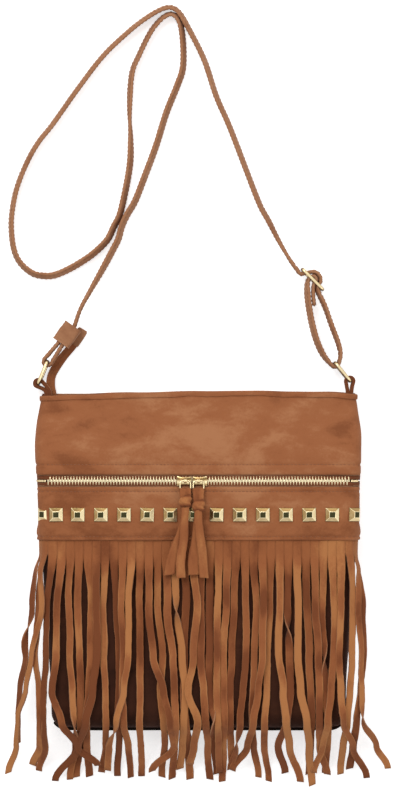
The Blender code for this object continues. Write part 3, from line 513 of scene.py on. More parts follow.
class Surface:
    """A Principled material under construction."""

    def __init__(self, name: str) -> None:
        """Starts a material with its shader."""
        self.material = bpy.data.materials.new(name)
        self.material.use_nodes = True
        self.tree = self.material.node_tree
        self.shader = self.tree.nodes["Principled BSDF"]
        self.place = self.node("ShaderNodeTexCoord").outputs["Object"]

    def node(self, kind: str, settings: dict[str, object] | None = None,
             inputs: dict[int | str, object] | None = None) -> bpy.types.Node:
        """Adds a node.

        Args:
            kind: Its type.
            settings: Its properties, which are set first.
            inputs: The value or the link of each of its sockets.

        Returns:
            The node.
        """
        node = self.tree.nodes.new(kind)
        for key, value in (settings or {}).items():
            setattr(node, key, value)
        for key, value in (inputs or {}).items():
            self.feed(node.inputs[key], value)
        return node

    def feed(self, socket: bpy.types.NodeSocket, value: object) -> None:
        """Gives a socket a signal, another socket or a plain value."""
        if isinstance(value, Signal):
            self.tree.links.new(value.socket, socket)
        elif isinstance(value, bpy.types.NodeSocket):
            self.tree.links.new(value, socket)
        elif isinstance(value, tuple) and socket.type == "RGBA":
            socket.default_value = (*value, 1.0)
        else:
            socket.default_value = value

    def constant(self, **values: float | Colour) -> None:
        """Sets the shader's own sockets, with underscores for spaces."""
        for key, value in values.items():
            self.feed(self.shader.inputs[key.replace("_", " ")], value)

    def grain(self, scale: float, detail: float = 3.0, rough: float = 0.55, warp: float = 0.0,
              stretch: Colour = (1.0, 1.0, 1.0)) -> Signal:
        """A noise pattern.

        Args:
            scale: How many patches in a metre.
            detail: How many finer layers it has.
            rough: How strong the finer layers are.
            warp: How far it is distorted.
            stretch: How much each axis is squeezed.

        Returns:
            The pattern, from 0 to 1.
        """
        mapping = self.node("ShaderNodeMapping", {}, {"Vector": self.place, "Scale": stretch})
        made = self.node("ShaderNodeTexNoise", {}, {"Vector": mapping.outputs["Vector"], "Scale": scale,
                                                    "Detail": detail, "Roughness": rough, "Distortion": warp})
        return Signal(self, made.outputs["Fac"])

    def attribute(self, name: str) -> Signal:
        """A value painted on the mesh."""
        return Signal(self, self.node("ShaderNodeAttribute", {"attribute_name": name}).outputs["Fac"])

    def axis(self, index: int) -> Signal:
        """One of the three object coordinates."""
        return Signal(self, self.node("ShaderNodeSeparateXYZ", {}, {0: self.place}).outputs[index])

    def mixed(self, share: Signal, low: object, high: object) -> bpy.types.NodeSocket:
        """Mixes two colours."""
        node = self.node("ShaderNodeMix", {"data_type": "RGBA"}, {"Factor": share})
        for key, colour in (("A", low), ("B", high)):
            self.feed(next(s for s in node.inputs if s.name == key and s.type == "RGBA"), colour)
        return next(s for s in node.outputs if s.type == "RGBA")

    def bump(self, *layers: tuple[Signal, float]) -> None:
        """Stacks bumps, each with its height in millimetres."""
        inputs: dict[int | str, object] = {}
        for signal, height in layers:
            bump = self.node("ShaderNodeBump", {}, {"Distance": height * MM, "Height": signal, **inputs})
            inputs = {"Normal": bump.outputs["Normal"]}
        self.feed(self.shader.inputs["Normal"], inputs["Normal"])


@dataclass(frozen=True)
class Suede:
    """Napped suede: a mottled colour, brushed streaks and a fine fibre."""

    name: str
    deep: Colour
    middle: Colour
    light: Colour
    patches: float = 34.0
    streak: Colour = (0.5, 1.0, 1.0)
    contrast: float = 1.0
    toned: bool = False
    sheen: float = 0.12

    def make(self) -> bpy.types.Material:
        """Builds the material."""
        surface = Surface(self.name)
        broad = surface.grain(self.patches * 0.5, 2.0, 0.5, 0.9, self.streak)
        cloudy = surface.grain(self.patches, 4.0, 0.6, 0.5, self.streak)
        brushed = surface.grain(self.patches * 3.6, 3.0, 0.6, 0.3, self.streak)
        fibre = surface.grain(2400.0, 2.0, 0.7)
        pile = surface.grain(560.0, 3.0, 0.65)
        shade = broad * 0.34 + cloudy * 0.36 + brushed * 0.17 + pile * 0.08 + fibre * 0.05
        # The painted tone attribute shifts the colour lighter or darker; on the fringe and the ties it holds
        # random tone and also painted light and shade.
        if self.toned:
            shade = shade + (surface.attribute("tone") - 0.5) * 0.6
        spread = 0.17 / self.contrast
        low = surface.mixed(shade.fit(0.5 - spread, 0.5), self.deep, self.middle)
        colour = surface.mixed(shade.fit(0.5, 0.5 + spread), low, self.light)
        surface.feed(surface.shader.inputs["Base Color"], colour)
        surface.constant(Sheen_Weight=self.sheen, Sheen_Roughness=0.5, Sheen_Tint=(1.0, 0.78, 0.6),
                         Specular_IOR_Level=0.15)
        surface.feed(surface.shader.inputs["Roughness"], fibre * 0.12 + 0.84)
        surface.bump((brushed, 0.3), (pile, 0.2), (fibre, 0.05))
        return surface.material


@dataclass(frozen=True)
class Gold:
    """Light gold plating with faint polishing marks and tarnish, darkened by a painted reflection shade from
    its tone attribute.
    """

    name: str
    base: Colour = (0.82, 0.67, 0.40)
    tarnish_and_reflection_dark: Colour = (0.36, 0.23, 0.09)
    shaded: Colour = (0.09, 0.055, 0.022)
    gloss: float = 0.2

    def make(self) -> bpy.types.Material:
        """Builds the material."""
        surface = Surface(self.name)
        tarnish = surface.grain(190.0, 4.0, 0.6)
        marks = surface.grain(1500.0, 2.0, 0.5, 0.0, (1.0, 0.15, 1.0))
        # The tone attribute holds a painted reflection shade; with the tarnish noise it moves the gold
        # towards its darker colours.
        share = surface.attribute("tone") + (tarnish - 0.5) * 0.3
        low = surface.mixed(share.fit(0.0, 0.55), self.base, self.tarnish_and_reflection_dark)
        colour = surface.mixed(share.fit(0.55, 1.0), low, self.shaded)
        surface.feed(surface.shader.inputs["Base Color"], colour)
        surface.constant(Metallic=1.0)
        surface.feed(surface.shader.inputs["Roughness"], marks * 0.16 + self.gloss)
        surface.bump((marks, 0.012))
        return surface.material


@dataclass(frozen=True)
class Weave:
    """Woven cloth, with ribs across and along it."""

    name: str
    dark: Colour
    light: Colour
    pitch: float = 0.7

    def make(self) -> bpy.types.Material:
        """Builds the material."""
        surface = Surface(self.name)
        turns = 2 * math.pi / (self.pitch * MM)
        weave = (surface.axis(0) * turns).wave() * (surface.axis(1) * turns).wave()
        cloudy = surface.grain(60.0)
        shade = (weave * 0.2 + cloudy).fit(0.2, 0.8)
        surface.feed(surface.shader.inputs["Base Color"], surface.mixed(shade, self.dark, self.light))
        surface.constant(Roughness=0.85, Specular_IOR_Level=0.2)
        surface.bump((weave, 0.08))
        return surface.material


@dataclass(frozen=True)
class Thread:
    """Sewing thread with a twist."""

    name: str
    shade: Colour
    lit: Colour

    def make(self) -> bpy.types.Material:
        """Builds the material."""
        surface = Surface(self.name)
        twist = surface.grain(3000.0, 1.0, 0.5, 0.0, (1.0, 0.4, 1.0))
        colour = surface.mixed(twist.fit(0.35, 0.65), self.shade, self.lit)
        surface.feed(surface.shader.inputs["Base Color"], colour)
        surface.constant(Roughness=0.6, Specular_IOR_Level=0.3)
        surface.bump((twist, 0.05))
        return surface.material


class Finishes:
    """Every material of the bag."""

    def __init__(self) -> None:
        """Builds them all."""
        self.suede = Suede("panel_suede", (0.262, 0.085, 0.032), (0.375, 0.132, 0.052), (0.47, 0.20, 0.090),
                           patches=26.0, streak=(0.55, 1.0, 1.0), contrast=1.7).make()
        # Painted shade: the front panel shows only between the strands, so its suede is made nearly black.
        self.under = Suede("painted_shade_lower_suede", (0.03, 0.010, 0.005), (0.05, 0.016, 0.008), (0.085, 0.028, 0.013),
                           sheen=0.0).make()
        self.fringe = Suede("fringe_suede", (0.22, 0.066, 0.024), (0.36, 0.120, 0.043), (0.51, 0.205, 0.072),
                            patches=28.0, streak=(1.0, 0.4, 1.0), contrast=1.3, toned=True).make()
        self.cut = Suede("strand_edge", (0.30, 0.115, 0.05), (0.42, 0.18, 0.085), (0.54, 0.27, 0.14)).make()
        self.strap = Suede("strap_suede", (0.33, 0.14, 0.068), (0.43, 0.20, 0.10), (0.51, 0.26, 0.145),
                           patches=55.0, streak=(1.0, 1.0, 1.0)).make()
        # Dark cut edges, and also the painted shade on the zip tapes under the teeth.
        self.edge = Suede("cut_edge_and_tape_shade", (0.12, 0.038, 0.015), (0.19, 0.06, 0.024), (0.26, 0.09, 0.035)).make()
        self.dark = Suede("piping_suede", (0.008, 0.004, 0.003), (0.018, 0.009, 0.006),
                          (0.03, 0.016, 0.01)).make()
        self.gold = Gold("gold_plate").make()
        self.teeth = Gold("gold_teeth", (0.86, 0.74, 0.48), (0.44, 0.29, 0.13), (0.2, 0.11, 0.05),
                          gloss=0.26).make()
        self.studs = Gold("gold_studs", (0.92, 0.78, 0.48), (0.36, 0.23, 0.09), (0.05, 0.047, 0.02),
                          gloss=0.22).make()
        self.tape = Weave("zip_tape_weave", (0.27, 0.125, 0.062), (0.44, 0.23, 0.125)).make()
        self.lining = Weave("lining_weave", (0.06, 0.028, 0.014), (0.12, 0.06, 0.032), 0.5).make()
        self.thread = Thread("brown_thread", (0.19, 0.068, 0.03), (0.36, 0.15, 0.07)).make()


@dataclass(frozen=True)
class Shell:
    """The bag's outline and the way its panels follow it: the sewn panels' shape, with no relief."""

    belly_half: float = 144.0
    band_half: float = 140.5
    foot_half: float = 131.0
    belly_y: float = 105.0
    band_y: float = 40.0
    seam_height: float = 16.0
    seam_gap: float = 0.9
    mouth_crown: float = 12.0
    front_crown: float = 30.0
    crown_y: float = 84.0
    side_rounding: float = 14.0
    base_rounding: float = 22.0
    corner_rounding: float = 14.0
    chain_reach: float = 133.0
    zip_y: float = 72.0
    stud_y: float = 42.2
    band_end_y: float = 19.4
    outer_lifts: tuple[Point, ...] = ((22, 4.2), (49, 5.3), (102, 5.3), (TOP, 1.9))
    side_lifts: tuple[Point, ...] = ((26, 4.2), (39, 1.9))
    mouth_dips: tuple[Point, ...] = (
        (-142, -3.2), (-110, -2.2), (-60, -0.6), (0, 1.1), (50, 1.5), (85, 0.3), (115, 0.0), (142, -1.6),
    )

    def half_width(self, y: float) -> float:
        """Half the body's width at this height."""
        places = ((-TOP, self.foot_half), (self.band_y, self.band_half), (self.belly_y, self.belly_half),
                  (TOP, MOUTH_HALF))
        up = min(max((y + TOP) / self.corner_rounding, 0.0), 1.0)
        return between(places, y) - self.corner_rounding * (1 - math.sqrt(1 - (1 - up) ** 2))

    def base_share(self, y: float) -> float:
        """How much of the depth is left at this height, above the rounding of the base."""
        up = min(max((y + TOP) / self.base_rounding, 0.0), 1.0)
        return math.sqrt(1 - (1 - up) ** 2)

    def crown(self, y: float) -> float:
        """How far the front stands above the side seams at this height."""
        return between(((self.crown_y, self.front_crown), (TOP, self.mouth_crown)), y) * self.base_share(y)

    @staticmethod
    def side_fall(past: float) -> float:
        """How much of the depth is left at this share of the side's rounding."""
        return (1 - min(max(past, 0.0), 1.0) ** 3) ** (1 / 3)

    def front_height(self, x: float, y: float) -> float:
        """The front panel's outer face at a place, or 0 beside the body."""
        wide = self.half_width(y)
        if y <= -TOP or abs(x) >= wide:
            return 0.0
        past = (abs(x) - wide + self.side_rounding) / self.side_rounding
        return self.seam_height + self.seam_gap / 2 + self.crown(y) * self.side_fall(past)

    @functools.lru_cache(maxsize=4096)
    def section(self, y: float, front: bool) -> tuple[np.ndarray, np.ndarray, np.ndarray]:
        """The cross-section at a height, from the left seam to the right one.

        Args:
            y: The height.
            front: Whether it is the front panel's.

        Returns:
            The widths, the heights off the floor, and the distances along it.
        """
        flat = self.half_width(y) - self.side_rounding
        past = np.sin(np.linspace(math.pi / 2, 0, 25)) ** (2 / 3)
        left = np.array([self.side_fall(p) for p in past])
        share = np.concatenate([left, left[::-1]])
        x = np.concatenate([-flat - self.side_rounding * past, (flat + self.side_rounding * past)[::-1]])
        if front:
            z = self.seam_height + self.seam_gap / 2 + self.crown(y) * share
        else:
            z = (self.seam_height - self.seam_gap / 2) * (1 - share * self.base_share(y))
        return x, z, np.concatenate([[0], np.cumsum(np.hypot(np.diff(x), np.diff(z)))])

    def point(self, along: float, y: float, front: bool = True) -> Vector:
        """The point on the body at a signed distance along its section from the middle."""
        x, z, gone = self.section(y, front)
        place = min(max(along + gone[-1] / 2, 0.0), gone[-1])
        return Vector((float(np.interp(place, gone, x)), y, float(np.interp(place, gone, z))))

    def reach(self, y: float, front: bool = True) -> float:
        """The distance along the section from the middle to a seam."""
        return float(self.section(y, front)[2][-1] / 2)

    def frame(self, along: float, y: float, lift: float,
              front: bool = True) -> tuple[Vector, Vector, Vector, Vector]:
        """A point lifted off the body, with its directions.

        Args:
            along: The signed distance along the section from its middle.
            y: The height.
            lift: How far it stands off the body.
            front: Whether it is on the front.

        Returns:
            The point, and the directions across, up and out of the body there.
        """
        reach = self.reach(y, front)
        along = min(max(along, -reach), reach)
        low, high = max(along - 1.5, -reach), min(along + 1.5, reach)
        across = (self.point(high, y, front) - self.point(low, y, front)).normalized()
        upper, lower = min(y + 0.5, TOP), max(y - 0.5, -TOP)
        up = (self.point(along, upper, front) - self.point(along, lower, front)).normalized()
        out = across.cross(up).normalized() * (1 if front else -1)
        return self.point(along, y, front) + out * lift, across, up, out

    def outer_lift(self, along: float, y: float) -> float:
        """How far the zip's panels stand out: over the zip in the middle, and flat on the body beside it."""
        middle = between(self.outer_lifts, y)
        side = blend(0.3, between(self.side_lifts, y), ease((self.reach(y) - abs(along)) / 18))
        return blend(middle, side, ease((abs(along) - self.chain_reach - 4) / 12))

    def mouth_dip(self, x: float, y: float) -> float:
        """How far the soft mouth rises above its straight line at a place, or sinks below it."""
        return between(self.mouth_dips, x) * ease((y - self.belly_y) / 40)


@dataclass
class Panels:
    """The suede panels, their lining and their hems."""

    shell: Shell
    finishes: Finishes
    wall: float = 1.6
    outer_wall: float = 1.3
    lining_lift: float = -2.5
    hem_height: float = 4.5
    slot_half: float = 5.3
    stitch_pitch: float = 3.3
    stitch_length: float = 2.5
    stitch_reach: float = 141.0
    thread: float = 0.6
    upper_line: float = 86.0
    band_line: float = 62.6
    end_line: float = 22.6
    hem_line: float = 144.4
    piping_radius: float = 1.9
    thin_wall: float = 0.7
    seam_fade: float = 12.0
    fold_depth: float = 0.7
    fold_width: float = 1.6
    end_fold: float = 1.4

    @staticmethod
    def relief(along: float, y: float, seed: float, soft: float) -> float:
        """The slow sag and swell of soft suede."""
        return soft * (0.75 * cloud(seed, along, y * 1.3, 62) + 0.32 * cloud(seed + 4, along, y, 23))

    @staticmethod
    def groove(along: float, y: float, line: float) -> float:
        """How far suede is drawn down beside a line of stitches, with small puckers across it."""
        off = y - line
        pucker = 0.2 * math.sin(along / 1.5 + 3 * waver(line, along, 30)) * waver(line + 1, along, 25)
        return -0.75 * hump(off, 1.3) + pucker * math.exp(-abs(off) / 6)

    def skin(self, name: str, nodes: Sequence[str], high: float, low: float, size: tuple[int, int],
             lift: Height, front: bool = True, material: str = "suede", wall: float = 1.6,
             reach: float = 0.0, dips: bool = False) -> None:
        """A panel that follows the body.

        Args:
            name: Its name.
            nodes: The nodes that it stands for.
            high: Its upper edge.
            low: Its lower edge.
            size: How many faces across and up.
            lift: How far its face stands out at a distance along and a height.
            front: Whether it is on the front.
            material: Which finish it has.
            wall: Its thickness.
            reach: How far it reaches along the section, or 0 for the seams.
            dips: Whether its upper edge sinks with the mouth.
        """
        def place(across: float, up: float) -> Vector:
            """A point on the panel."""
            y = blend(low, high, up)
            far = reach or self.shell.reach(y, front)
            along = (2 * across - 1) * far
            spot = self.shell.frame(along, y, lift(along, y), front)[0]
            if dips:
                spot.y += self.shell.mouth_dip(spot.x, y)
            return spot

        bm = Maker.sheet(*size, place)
        if not front:
            bmesh.ops.reverse_faces(bm, faces=bm.faces)
        slot = {"suede": "suede", "under": "suede", "lining": "lining_cloth", "tape": "zip_tape"}[material]
        edge = self.finishes.edge if slot == "suede" else getattr(self.finishes, material)
        piece = Maker.finish(name, bm, (getattr(self.finishes, material), edge), "bag", nodes, slot)
        Maker.thicken(piece, wall)

    def off_seam(self, along: float, y: float) -> float:
        """How far a place is clear of the side seam, where every panel is drawn flat."""
        return ease((self.shell.reach(y) - abs(along)) / self.seam_fade)

    def upper_lift(self, along: float, y: float) -> float:
        """The upper panel's face."""
        near = self.off_seam(along, y)
        relief = (self.relief(along, y, 1, 1.3) + 0.35) * near
        past = self.shell.zip_y + self.slot_half + self.fold_width - y
        fold = -self.fold_depth * ease(past / self.fold_width)
        return (self.shell.outer_lift(along, y) + relief * ease((TOP - y) / 12) + fold * near
                + self.groove(along, y, self.upper_line) * near + self.groove(along, y, self.hem_line) * 0.3)

    def band_lift(self, along: float, y: float) -> float:
        """The stud band's face."""
        near = self.off_seam(along, y)
        past = y - self.shell.zip_y + self.slot_half + self.fold_width
        fold = -self.fold_depth * ease(past / self.fold_width)
        fold -= 0.5 * ease((self.shell.band_end_y + self.end_fold - y) / self.end_fold)
        sag = -0.5 * math.cos(along * 2 * math.pi / 20.4 + 1.4) * hump(y - 41, 11)
        pressed = self.groove(along, y, self.band_line) + self.groove(along, y, self.end_line)
        relief = self.relief(along, y, 2, 0.8)
        return self.shell.outer_lift(along, y) + (relief + fold + 0.25 * sag + pressed) * near

    def lower_lift(self, along: float, y: float) -> float:
        """The front panel's face, which shows only between strands."""
        return self.relief(along, y, 3, 0.5) * ease((y + TOP) / 20) * ease((10 - y) / 10) - 0.1

    def stitches(self, name: str, line: float, lift: Height) -> None:
        """A row of stitches across the front.

        Args:
            name: Its name.
            line: Its height.
            lift: The face of the panel that it is sewn through.
        """
        bm = bmesh.new()
        count = int(2 * self.stitch_reach / self.stitch_pitch)
        for number in range(count):
            along = (number - (count - 1) / 2) * self.stitch_pitch
            y = line + 0.15 * waver(line, along, 30)
            spot, across, up, out = self.shell.frame(along, y, lift(along, line) + self.thread * 0.2)
            spot.y += self.shell.mouth_dip(spot.x, y)
            turn = 0.06 * waver(line + 9, along, 3)
            across = (across + up * turn).normalized()
            up = out.cross(across)
            place = stood(spot, across, up, out)
            place @= Matrix.Diagonal((self.stitch_length, self.thread, self.thread, 1))
            bmesh.ops.create_uvsphere(bm, u_segments=8, v_segments=5, radius=0.5,
                                      matrix=place @ Matrix.Rotation(math.pi / 2, 4, "Y"))
        Maker.finish(name, bm, (self.finishes.thread,), sharp=80)

    def rim(self, name: str, node: str, front: bool, covered: float) -> None:
        """A hem turned over the top of the panels.

        Args:
            name: Its name.
            node: The node that it stands for.
            front: Whether it is the front one.
            covered: How far the panels under it stand out.
        """
        outside, inside = covered + 1.3, -self.wall - 1.3
        low = TOP - self.hem_height
        profile = Path([
            (outside - 0.2, low), (outside + 0.15, low + 2), (outside, TOP - 0.8), (outside - 0.7, TOP),
            (inside + 0.7, TOP), (inside, TOP - 0.8), (inside, low),
        ], 4)
        reach = self.shell.reach(TOP, front)

        def place(across: float, up: float) -> Vector:
            """A point on the hem."""
            along = (2 * across - 1) * reach
            spot = profile.at(up * profile.length)
            middle, _, _, out = self.shell.frame(along, TOP, 0, front)
            out = Vector((out.x, 0, out.z)).normalized()
            swell = 0.22 * cloud(11, along, 4 * spot.y, 12) if up < 0.5 else 0.0
            y = spot.y + (0.5 * waver(12, along, 16) if up < 0.12 else 0.0)
            dip = self.shell.mouth_dip(middle.x, TOP)
            y += dip if front else 0.8 * dip + 0.5 * waver(13, along, 50) + 0.5
            near = ease((reach - abs(along)) / 9)
            depth = (spot.x + swell) * (blend(0.25, 1.0, near) if spot.x > 0 else 1.0)
            return Vector((middle.x, y, middle.z)) + out * depth

        bm = Maker.sheet(220, 26, place)
        if not front:
            bmesh.ops.reverse_faces(bm, faces=bm.faces)
        piece = Maker.finish(name, bm, (self.finishes.suede, self.finishes.edge), "bag", (node,), "suede")
        Maker.thicken(piece, self.thin_wall)

    def piping(self) -> None:
        """The dark cord sewn along the base."""
        radius = self.shell.corner_rounding
        centre = Vector((-self.shell.foot_half + radius, -TOP + radius))
        points = arc(centre, radius + 0.5, 215, 270)
        path = Path([*points, *(Vector((-p.x, p.y)) for p in reversed(points))])

        def place(turn: float, along: float) -> Vector:
            """A point on the piping."""
            distance = along * path.length
            way = path.way(distance)
            side = leftward(way)
            angle = turn * 2 * math.pi
            thick = self.piping_radius * (1 + 0.05 * waver(21, distance, 9))
            thick *= min(1.0, 0.5 + min(along, 1 - along) * 200)
            level = self.shell.seam_height + 0.3 * waver(22, distance, 40)
            skin = side * math.cos(angle) + Vector((0, 0, math.sin(angle)))
            return path.at(distance) + Vector((0, 0, level)) + thick * skin

        bm = Maker.tube(14, 240, place)
        Maker.finish("base_piping", bm, (self.finishes.dark,), "bag", ("bottom_piping",), "piping")

    def build(self) -> None:
        """Makes every panel."""
        shell = self.shell
        top = TOP - 1
        # The front panel gets the nearly black suede, a painted shade for the panel seen between strands.
        self.skin("front_suede", ("front_panel",), top, -TOP, (120, 110), self.lower_lift, material="under",
                  dips=True)
        self.skin("back_suede", ("back_panel",), top, -TOP, (110, 100),
                  lambda s, y: -0.25 + 0.2 * cloud(6, s, y, 40), front=False)
        self.skin("upper_suede", ("front_upper_panel",), top, shell.zip_y + self.slot_half, (260, 90),
                  self.upper_lift, wall=self.outer_wall, dips=True)
        self.skin("band_suede", ("stud_band",), shell.zip_y - self.slot_half, shell.band_end_y, (260, 70),
                  self.band_lift, wall=self.outer_wall)
        for side, front in (("front", True), ("back", False)):
            self.skin("lining_" + side + "_cloth", ("lining_" + side,), 131.0, -TOP + 3, (80, 60),
                      lambda s, y: self.lining_lift - 0.3 * abs(cloud(8, s, y, 30)), front, "lining",
                      wall=0.8, reach=126.5)
            self.skin("mouth_tape_" + side, ("main_zip_" + side,), 148.5, 136.0, (160, 10),
                      lambda s, y: -3.5 + 0.1 * waver(5, s, 20), front, "tape", self.thin_wall, reach=122.0)
        self.rim("rim_front_hem", "rim_front", True, 1.9)
        self.rim("rim_back_hem", "rim_back", False, 0.0)
        self.piping()
        for name, line, lift in (("upper", self.upper_line, self.upper_lift),
                                 ("band", self.band_line, self.band_lift),
                                 ("end", self.end_line, self.band_lift)):
            self.stitches("stitches_" + name, line, lift)


@dataclass
class FrontZip:
    """The front zip's tapes, teeth, end stops, sliders and pull rings."""

    shell: Shell
    finishes: Finishes
    tooth_pitch: float = 2.6
    tooth_width: float = 1.1
    tooth_reach: float = 3.7
    tooth_past: float = 1.0
    tooth_base: float = 2.3
    tooth_top: float = 4.5
    tape_lift: float = 3.8
    tape_width: float = 11.0
    slider_length: float = 12.6
    slider_width: float = 8.6
    plate_top: float = 6.1
    axle_lift: float = 7.15
    pull_wire: float = 1.5
    pull_half: float = 4.65
    pull_drop: float = 8.6
    stop_parts: int = 6
    bail: tuple[Point, ...] = (
        (-1.7, 0), (-1.6, 1.2), (-1.1, 2.1), (0, 2.55), (1.1, 2.1), (1.6, 1.2), (1.7, 0),
    )
    slider_block: float = 5.3
    plate_gap: float = 0.6
    plate_lip: float = 1.3
    ring_gap: float = 0.3
    ring_corner: float = 1.9
    sliders: tuple[float, float] = (-12.8, 1.2)

    def axes(self, along: float, y: float, lift: float) -> Matrix:
        """The place and the directions of something that stands on the body."""
        spot, across, _, out = self.shell.frame(along, y, lift)
        return stood(spot, across, out.cross(across), out)

    def tapes(self) -> None:
        """The two woven tapes, with a rib where the teeth are clamped."""
        zip_y = self.shell.zip_y
        for side, sign in (("upper", 1), ("lower", -1)):
            def place(across: float, up: float) -> Vector:
                """A point on the tape."""
                along = (2 * across - 1) * (self.shell.reach(zip_y) - 0.5)
                off = blend(0.8, self.tape_width, up)
                rib = 0.75 * hump(off - 2.6, 1.3)
                lift = min(self.tape_lift + rib - 0.4, self.shell.outer_lift(along, zip_y))
                return self.shell.frame(along, zip_y + sign * off, lift)[0]

            bm = Maker.sheet(140, 14, place)
            if sign < 0:
                bmesh.ops.reverse_faces(bm, faces=bm.faces)
            # Painted shade: the tape faces under the teeth get the dark cut-edge suede.
            for face in bm.faces:
                face.material_index = int(abs(face.calc_center_median().y - zip_y) < 4.2)
            piece = Maker.finish("zip_tape_" + side, bm, (self.finishes.tape, self.finishes.edge), "bag",
                                 ("front_zip_" + side,), "zip_tape")
            Maker.thicken(piece, 0.7)

    def teeth(self) -> None:
        """The closed chain: each tooth reaches past the middle between two of the other side's."""
        zip_y = self.shell.zip_y
        bm = bmesh.new()
        tone = bm.verts.layers.float.new("tone")
        count = int(2 * self.shell.chain_reach / self.tooth_pitch)
        length = self.tooth_reach + self.tooth_past
        for sign in (1, -1):
            for number in range(count):
                along = (number - (count - 1) / 2 + sign * 0.25) * self.tooth_pitch
                y = zip_y + sign * (self.tooth_reach - self.tooth_past) / 2
                place = self.axes(along, y, (self.tooth_base + self.tooth_top) / 2)
                size = (self.tooth_width, length, self.tooth_top - self.tooth_base)
                made = Maker.block(bm, size, place, 0.28)
                back = place.inverted()
                for vert in made:
                    spot = back @ vert.co
                    outward = ease(sign * spot.y / length + 0.5)
                    spot.z -= 0.5 * outward
                    spot.x *= blend(1.02, 0.8, outward)
                    vert.co = place @ spot
                    # Painted shade: each tooth darkens towards its outer end, where it tucks between the
                    # other row's teeth.
                    vert[tone] = 0.28 * ease((outward - 0.2) / 0.5)
        Maker.finish("zip_teeth", bm, (self.finishes.teeth,), slot="gold", sharp=35)

    def stops(self) -> None:
        """The chain's end pieces: a long staple at the left and a short one at the right."""
        zip_y = self.shell.zip_y
        for side, sign, length in (("left", -1, 8.4), ("right", 1, 5.4)):
            bm = bmesh.new()
            for number in range(self.stop_parts):
                along = sign * (self.shell.chain_reach + 0.3 + (number + 0.5) * length / self.stop_parts)
                place = self.axes(along, zip_y, min(4.1, self.shell.outer_lift(along, zip_y) + 0.8))
                Maker.block(bm, (length / self.stop_parts + 0.5, 2.0, 1.3), place, 0.4, 3)
            Maker.finish("zip_stop_" + side, bm, (self.finishes.gold,), "bag", ("front_zip_stop_" + side,),
                         "gold")

    def slider(self, side: Side, at: float, pull_at: float) -> None:
        """A slider: two shaped plates, a web between the rows of teeth, and a bail for the pull ring.

        Args:
            side: Which slider it is.
            at: Its middle across the bag.
            pull_at: The middle of its bail.
        """
        zip_y = self.shell.zip_y
        base = self.shell.point(0, zip_y).z
        bm = bmesh.new()
        tone = bm.verts.layers.float.new("tone")
        for low, high in ((0.6, 1.7), (self.plate_top - 1.1, self.plate_top)):
            before = set(bm.verts)
            middle = Vector((at, zip_y, base + (low + high) / 2))
            Maker.block(bm, (self.slider_length, self.slider_width, high - low), Matrix.Translation(middle))
            level = [edge for edge in bm.edges if edge.verts[0] not in before
                     and abs(edge.verts[0].co.z - edge.verts[1].co.z) < 0.5]
            bmesh.ops.subdivide_edges(bm, edges=level, cuts=7, use_grid_fill=True)
            fresh = [vert for vert in bm.verts if vert not in before]
            for vert in fresh:
                outward = side.value * (vert.co.x - at) / self.slider_length + 0.5
                narrow = 1 - 0.2 * math.sin(math.pi * outward) - 0.1 * ease(1 - outward)
                vert.co.y = zip_y + (vert.co.y - zip_y) * narrow
                beside = 2 * (vert.co.y - zip_y) / self.slider_width
                if vert.co.z > base + self.plate_top - 0.1:
                    vert.co.z += 0.8 * (1 - beside**2) * math.sin(math.pi * outward)
                    # Painted reflection on the domed top: two dark bands along its length, with a bright
                    # stretch between them and at its edges.
                    vert[tone] = 0.95 * hump(beside - 0.42, 0.3) + 0.7 * hump(beside + 0.7, 0.16)
            sharp = [e for e in {e for v in fresh for e in v.link_edges} if e.calc_face_angle(0.0) > 0.9]
            bmesh.ops.bevel(bm, geom=sharp, offset=0.35, segments=3, profile=0.5, affect="EDGES", material=-1)
        middle = Matrix.Translation(Vector((at, zip_y, base + self.plate_top / 2 + 0.3)))
        Maker.block(bm, (self.slider_length - 2, 0.5, self.plate_top - 1.4), middle, 0.1)
        for flange in (-1, 1):
            spot = Vector((at + side.value * self.slider_length * 0.42, zip_y + flange * 3.6,
                           base + self.plate_top - 1.2))
            Maker.block(bm, (1.3, 1.2, 1.7), Matrix.Translation(spot), 0.3)
        rise = self.axle_lift + self.pull_wire / 2 + 0.75
        arch = Path([(zip_y + off, up) for off, up in self.bail], 5)
        scale = (rise - self.plate_top + 0.4) / max(up for _, up in self.bail)
        for shift in (-0.8, 0, 0.8):
            foot = Vector((pull_at + shift, 0, base + self.plate_top - 0.3))
            Maker.wire([foot + Vector((0, p.x, p.y * scale)) for p in arch.points], 1.0, False, 10, bm)
        Maker.finish("slider_" + side.word + "_gold", bm, (self.finishes.gold,), "slider_" + side.word,
                     ("front_zip_slider_" + side.word,), "gold")

    def ring(self, side: Side, pull_at: float) -> None:
        """A pull ring through the bail."""
        y = self.shell.zip_y
        base = self.shell.point(0, y).z
        axle = base + self.axle_lift
        low = base + self.slider_block + self.plate_gap + self.plate_lip + self.pull_wire / 2 + self.ring_gap
        foot, radius = y - self.pull_drop, self.ring_corner
        corners = ((1, y, -1), (-1, y, -1), (-1, foot, 1), (1, foot, 1))
        outline = []
        for quarter, (hand, level, inward) in enumerate(corners):
            centre = Vector((pull_at + hand * (self.pull_half - radius), level + inward * radius))
            outline += arc(centre, radius, quarter * 90, quarter * 90 + 90, 8)
        centres = [Vector((p.x, p.y, blend(axle, low, (y - p.y) / self.pull_drop))) for p in outline]
        bm = Maker.wire(centres, self.pull_wire, True, 12)
        Maker.finish("ring_" + side.word + "_wire", bm, (self.finishes.gold,), "pull_" + side.word,
                     ("pull_ring_" + side.word,), "gold", 60)

    def build(self) -> None:
        """Makes the zip."""
        self.tapes()
        self.teeth()
        self.stops()
        for side, at, pull_at in zip(Side, self.sliders, PULLS_X):
            self.slider(side, at, pull_at)
            self.ring(side, pull_at)


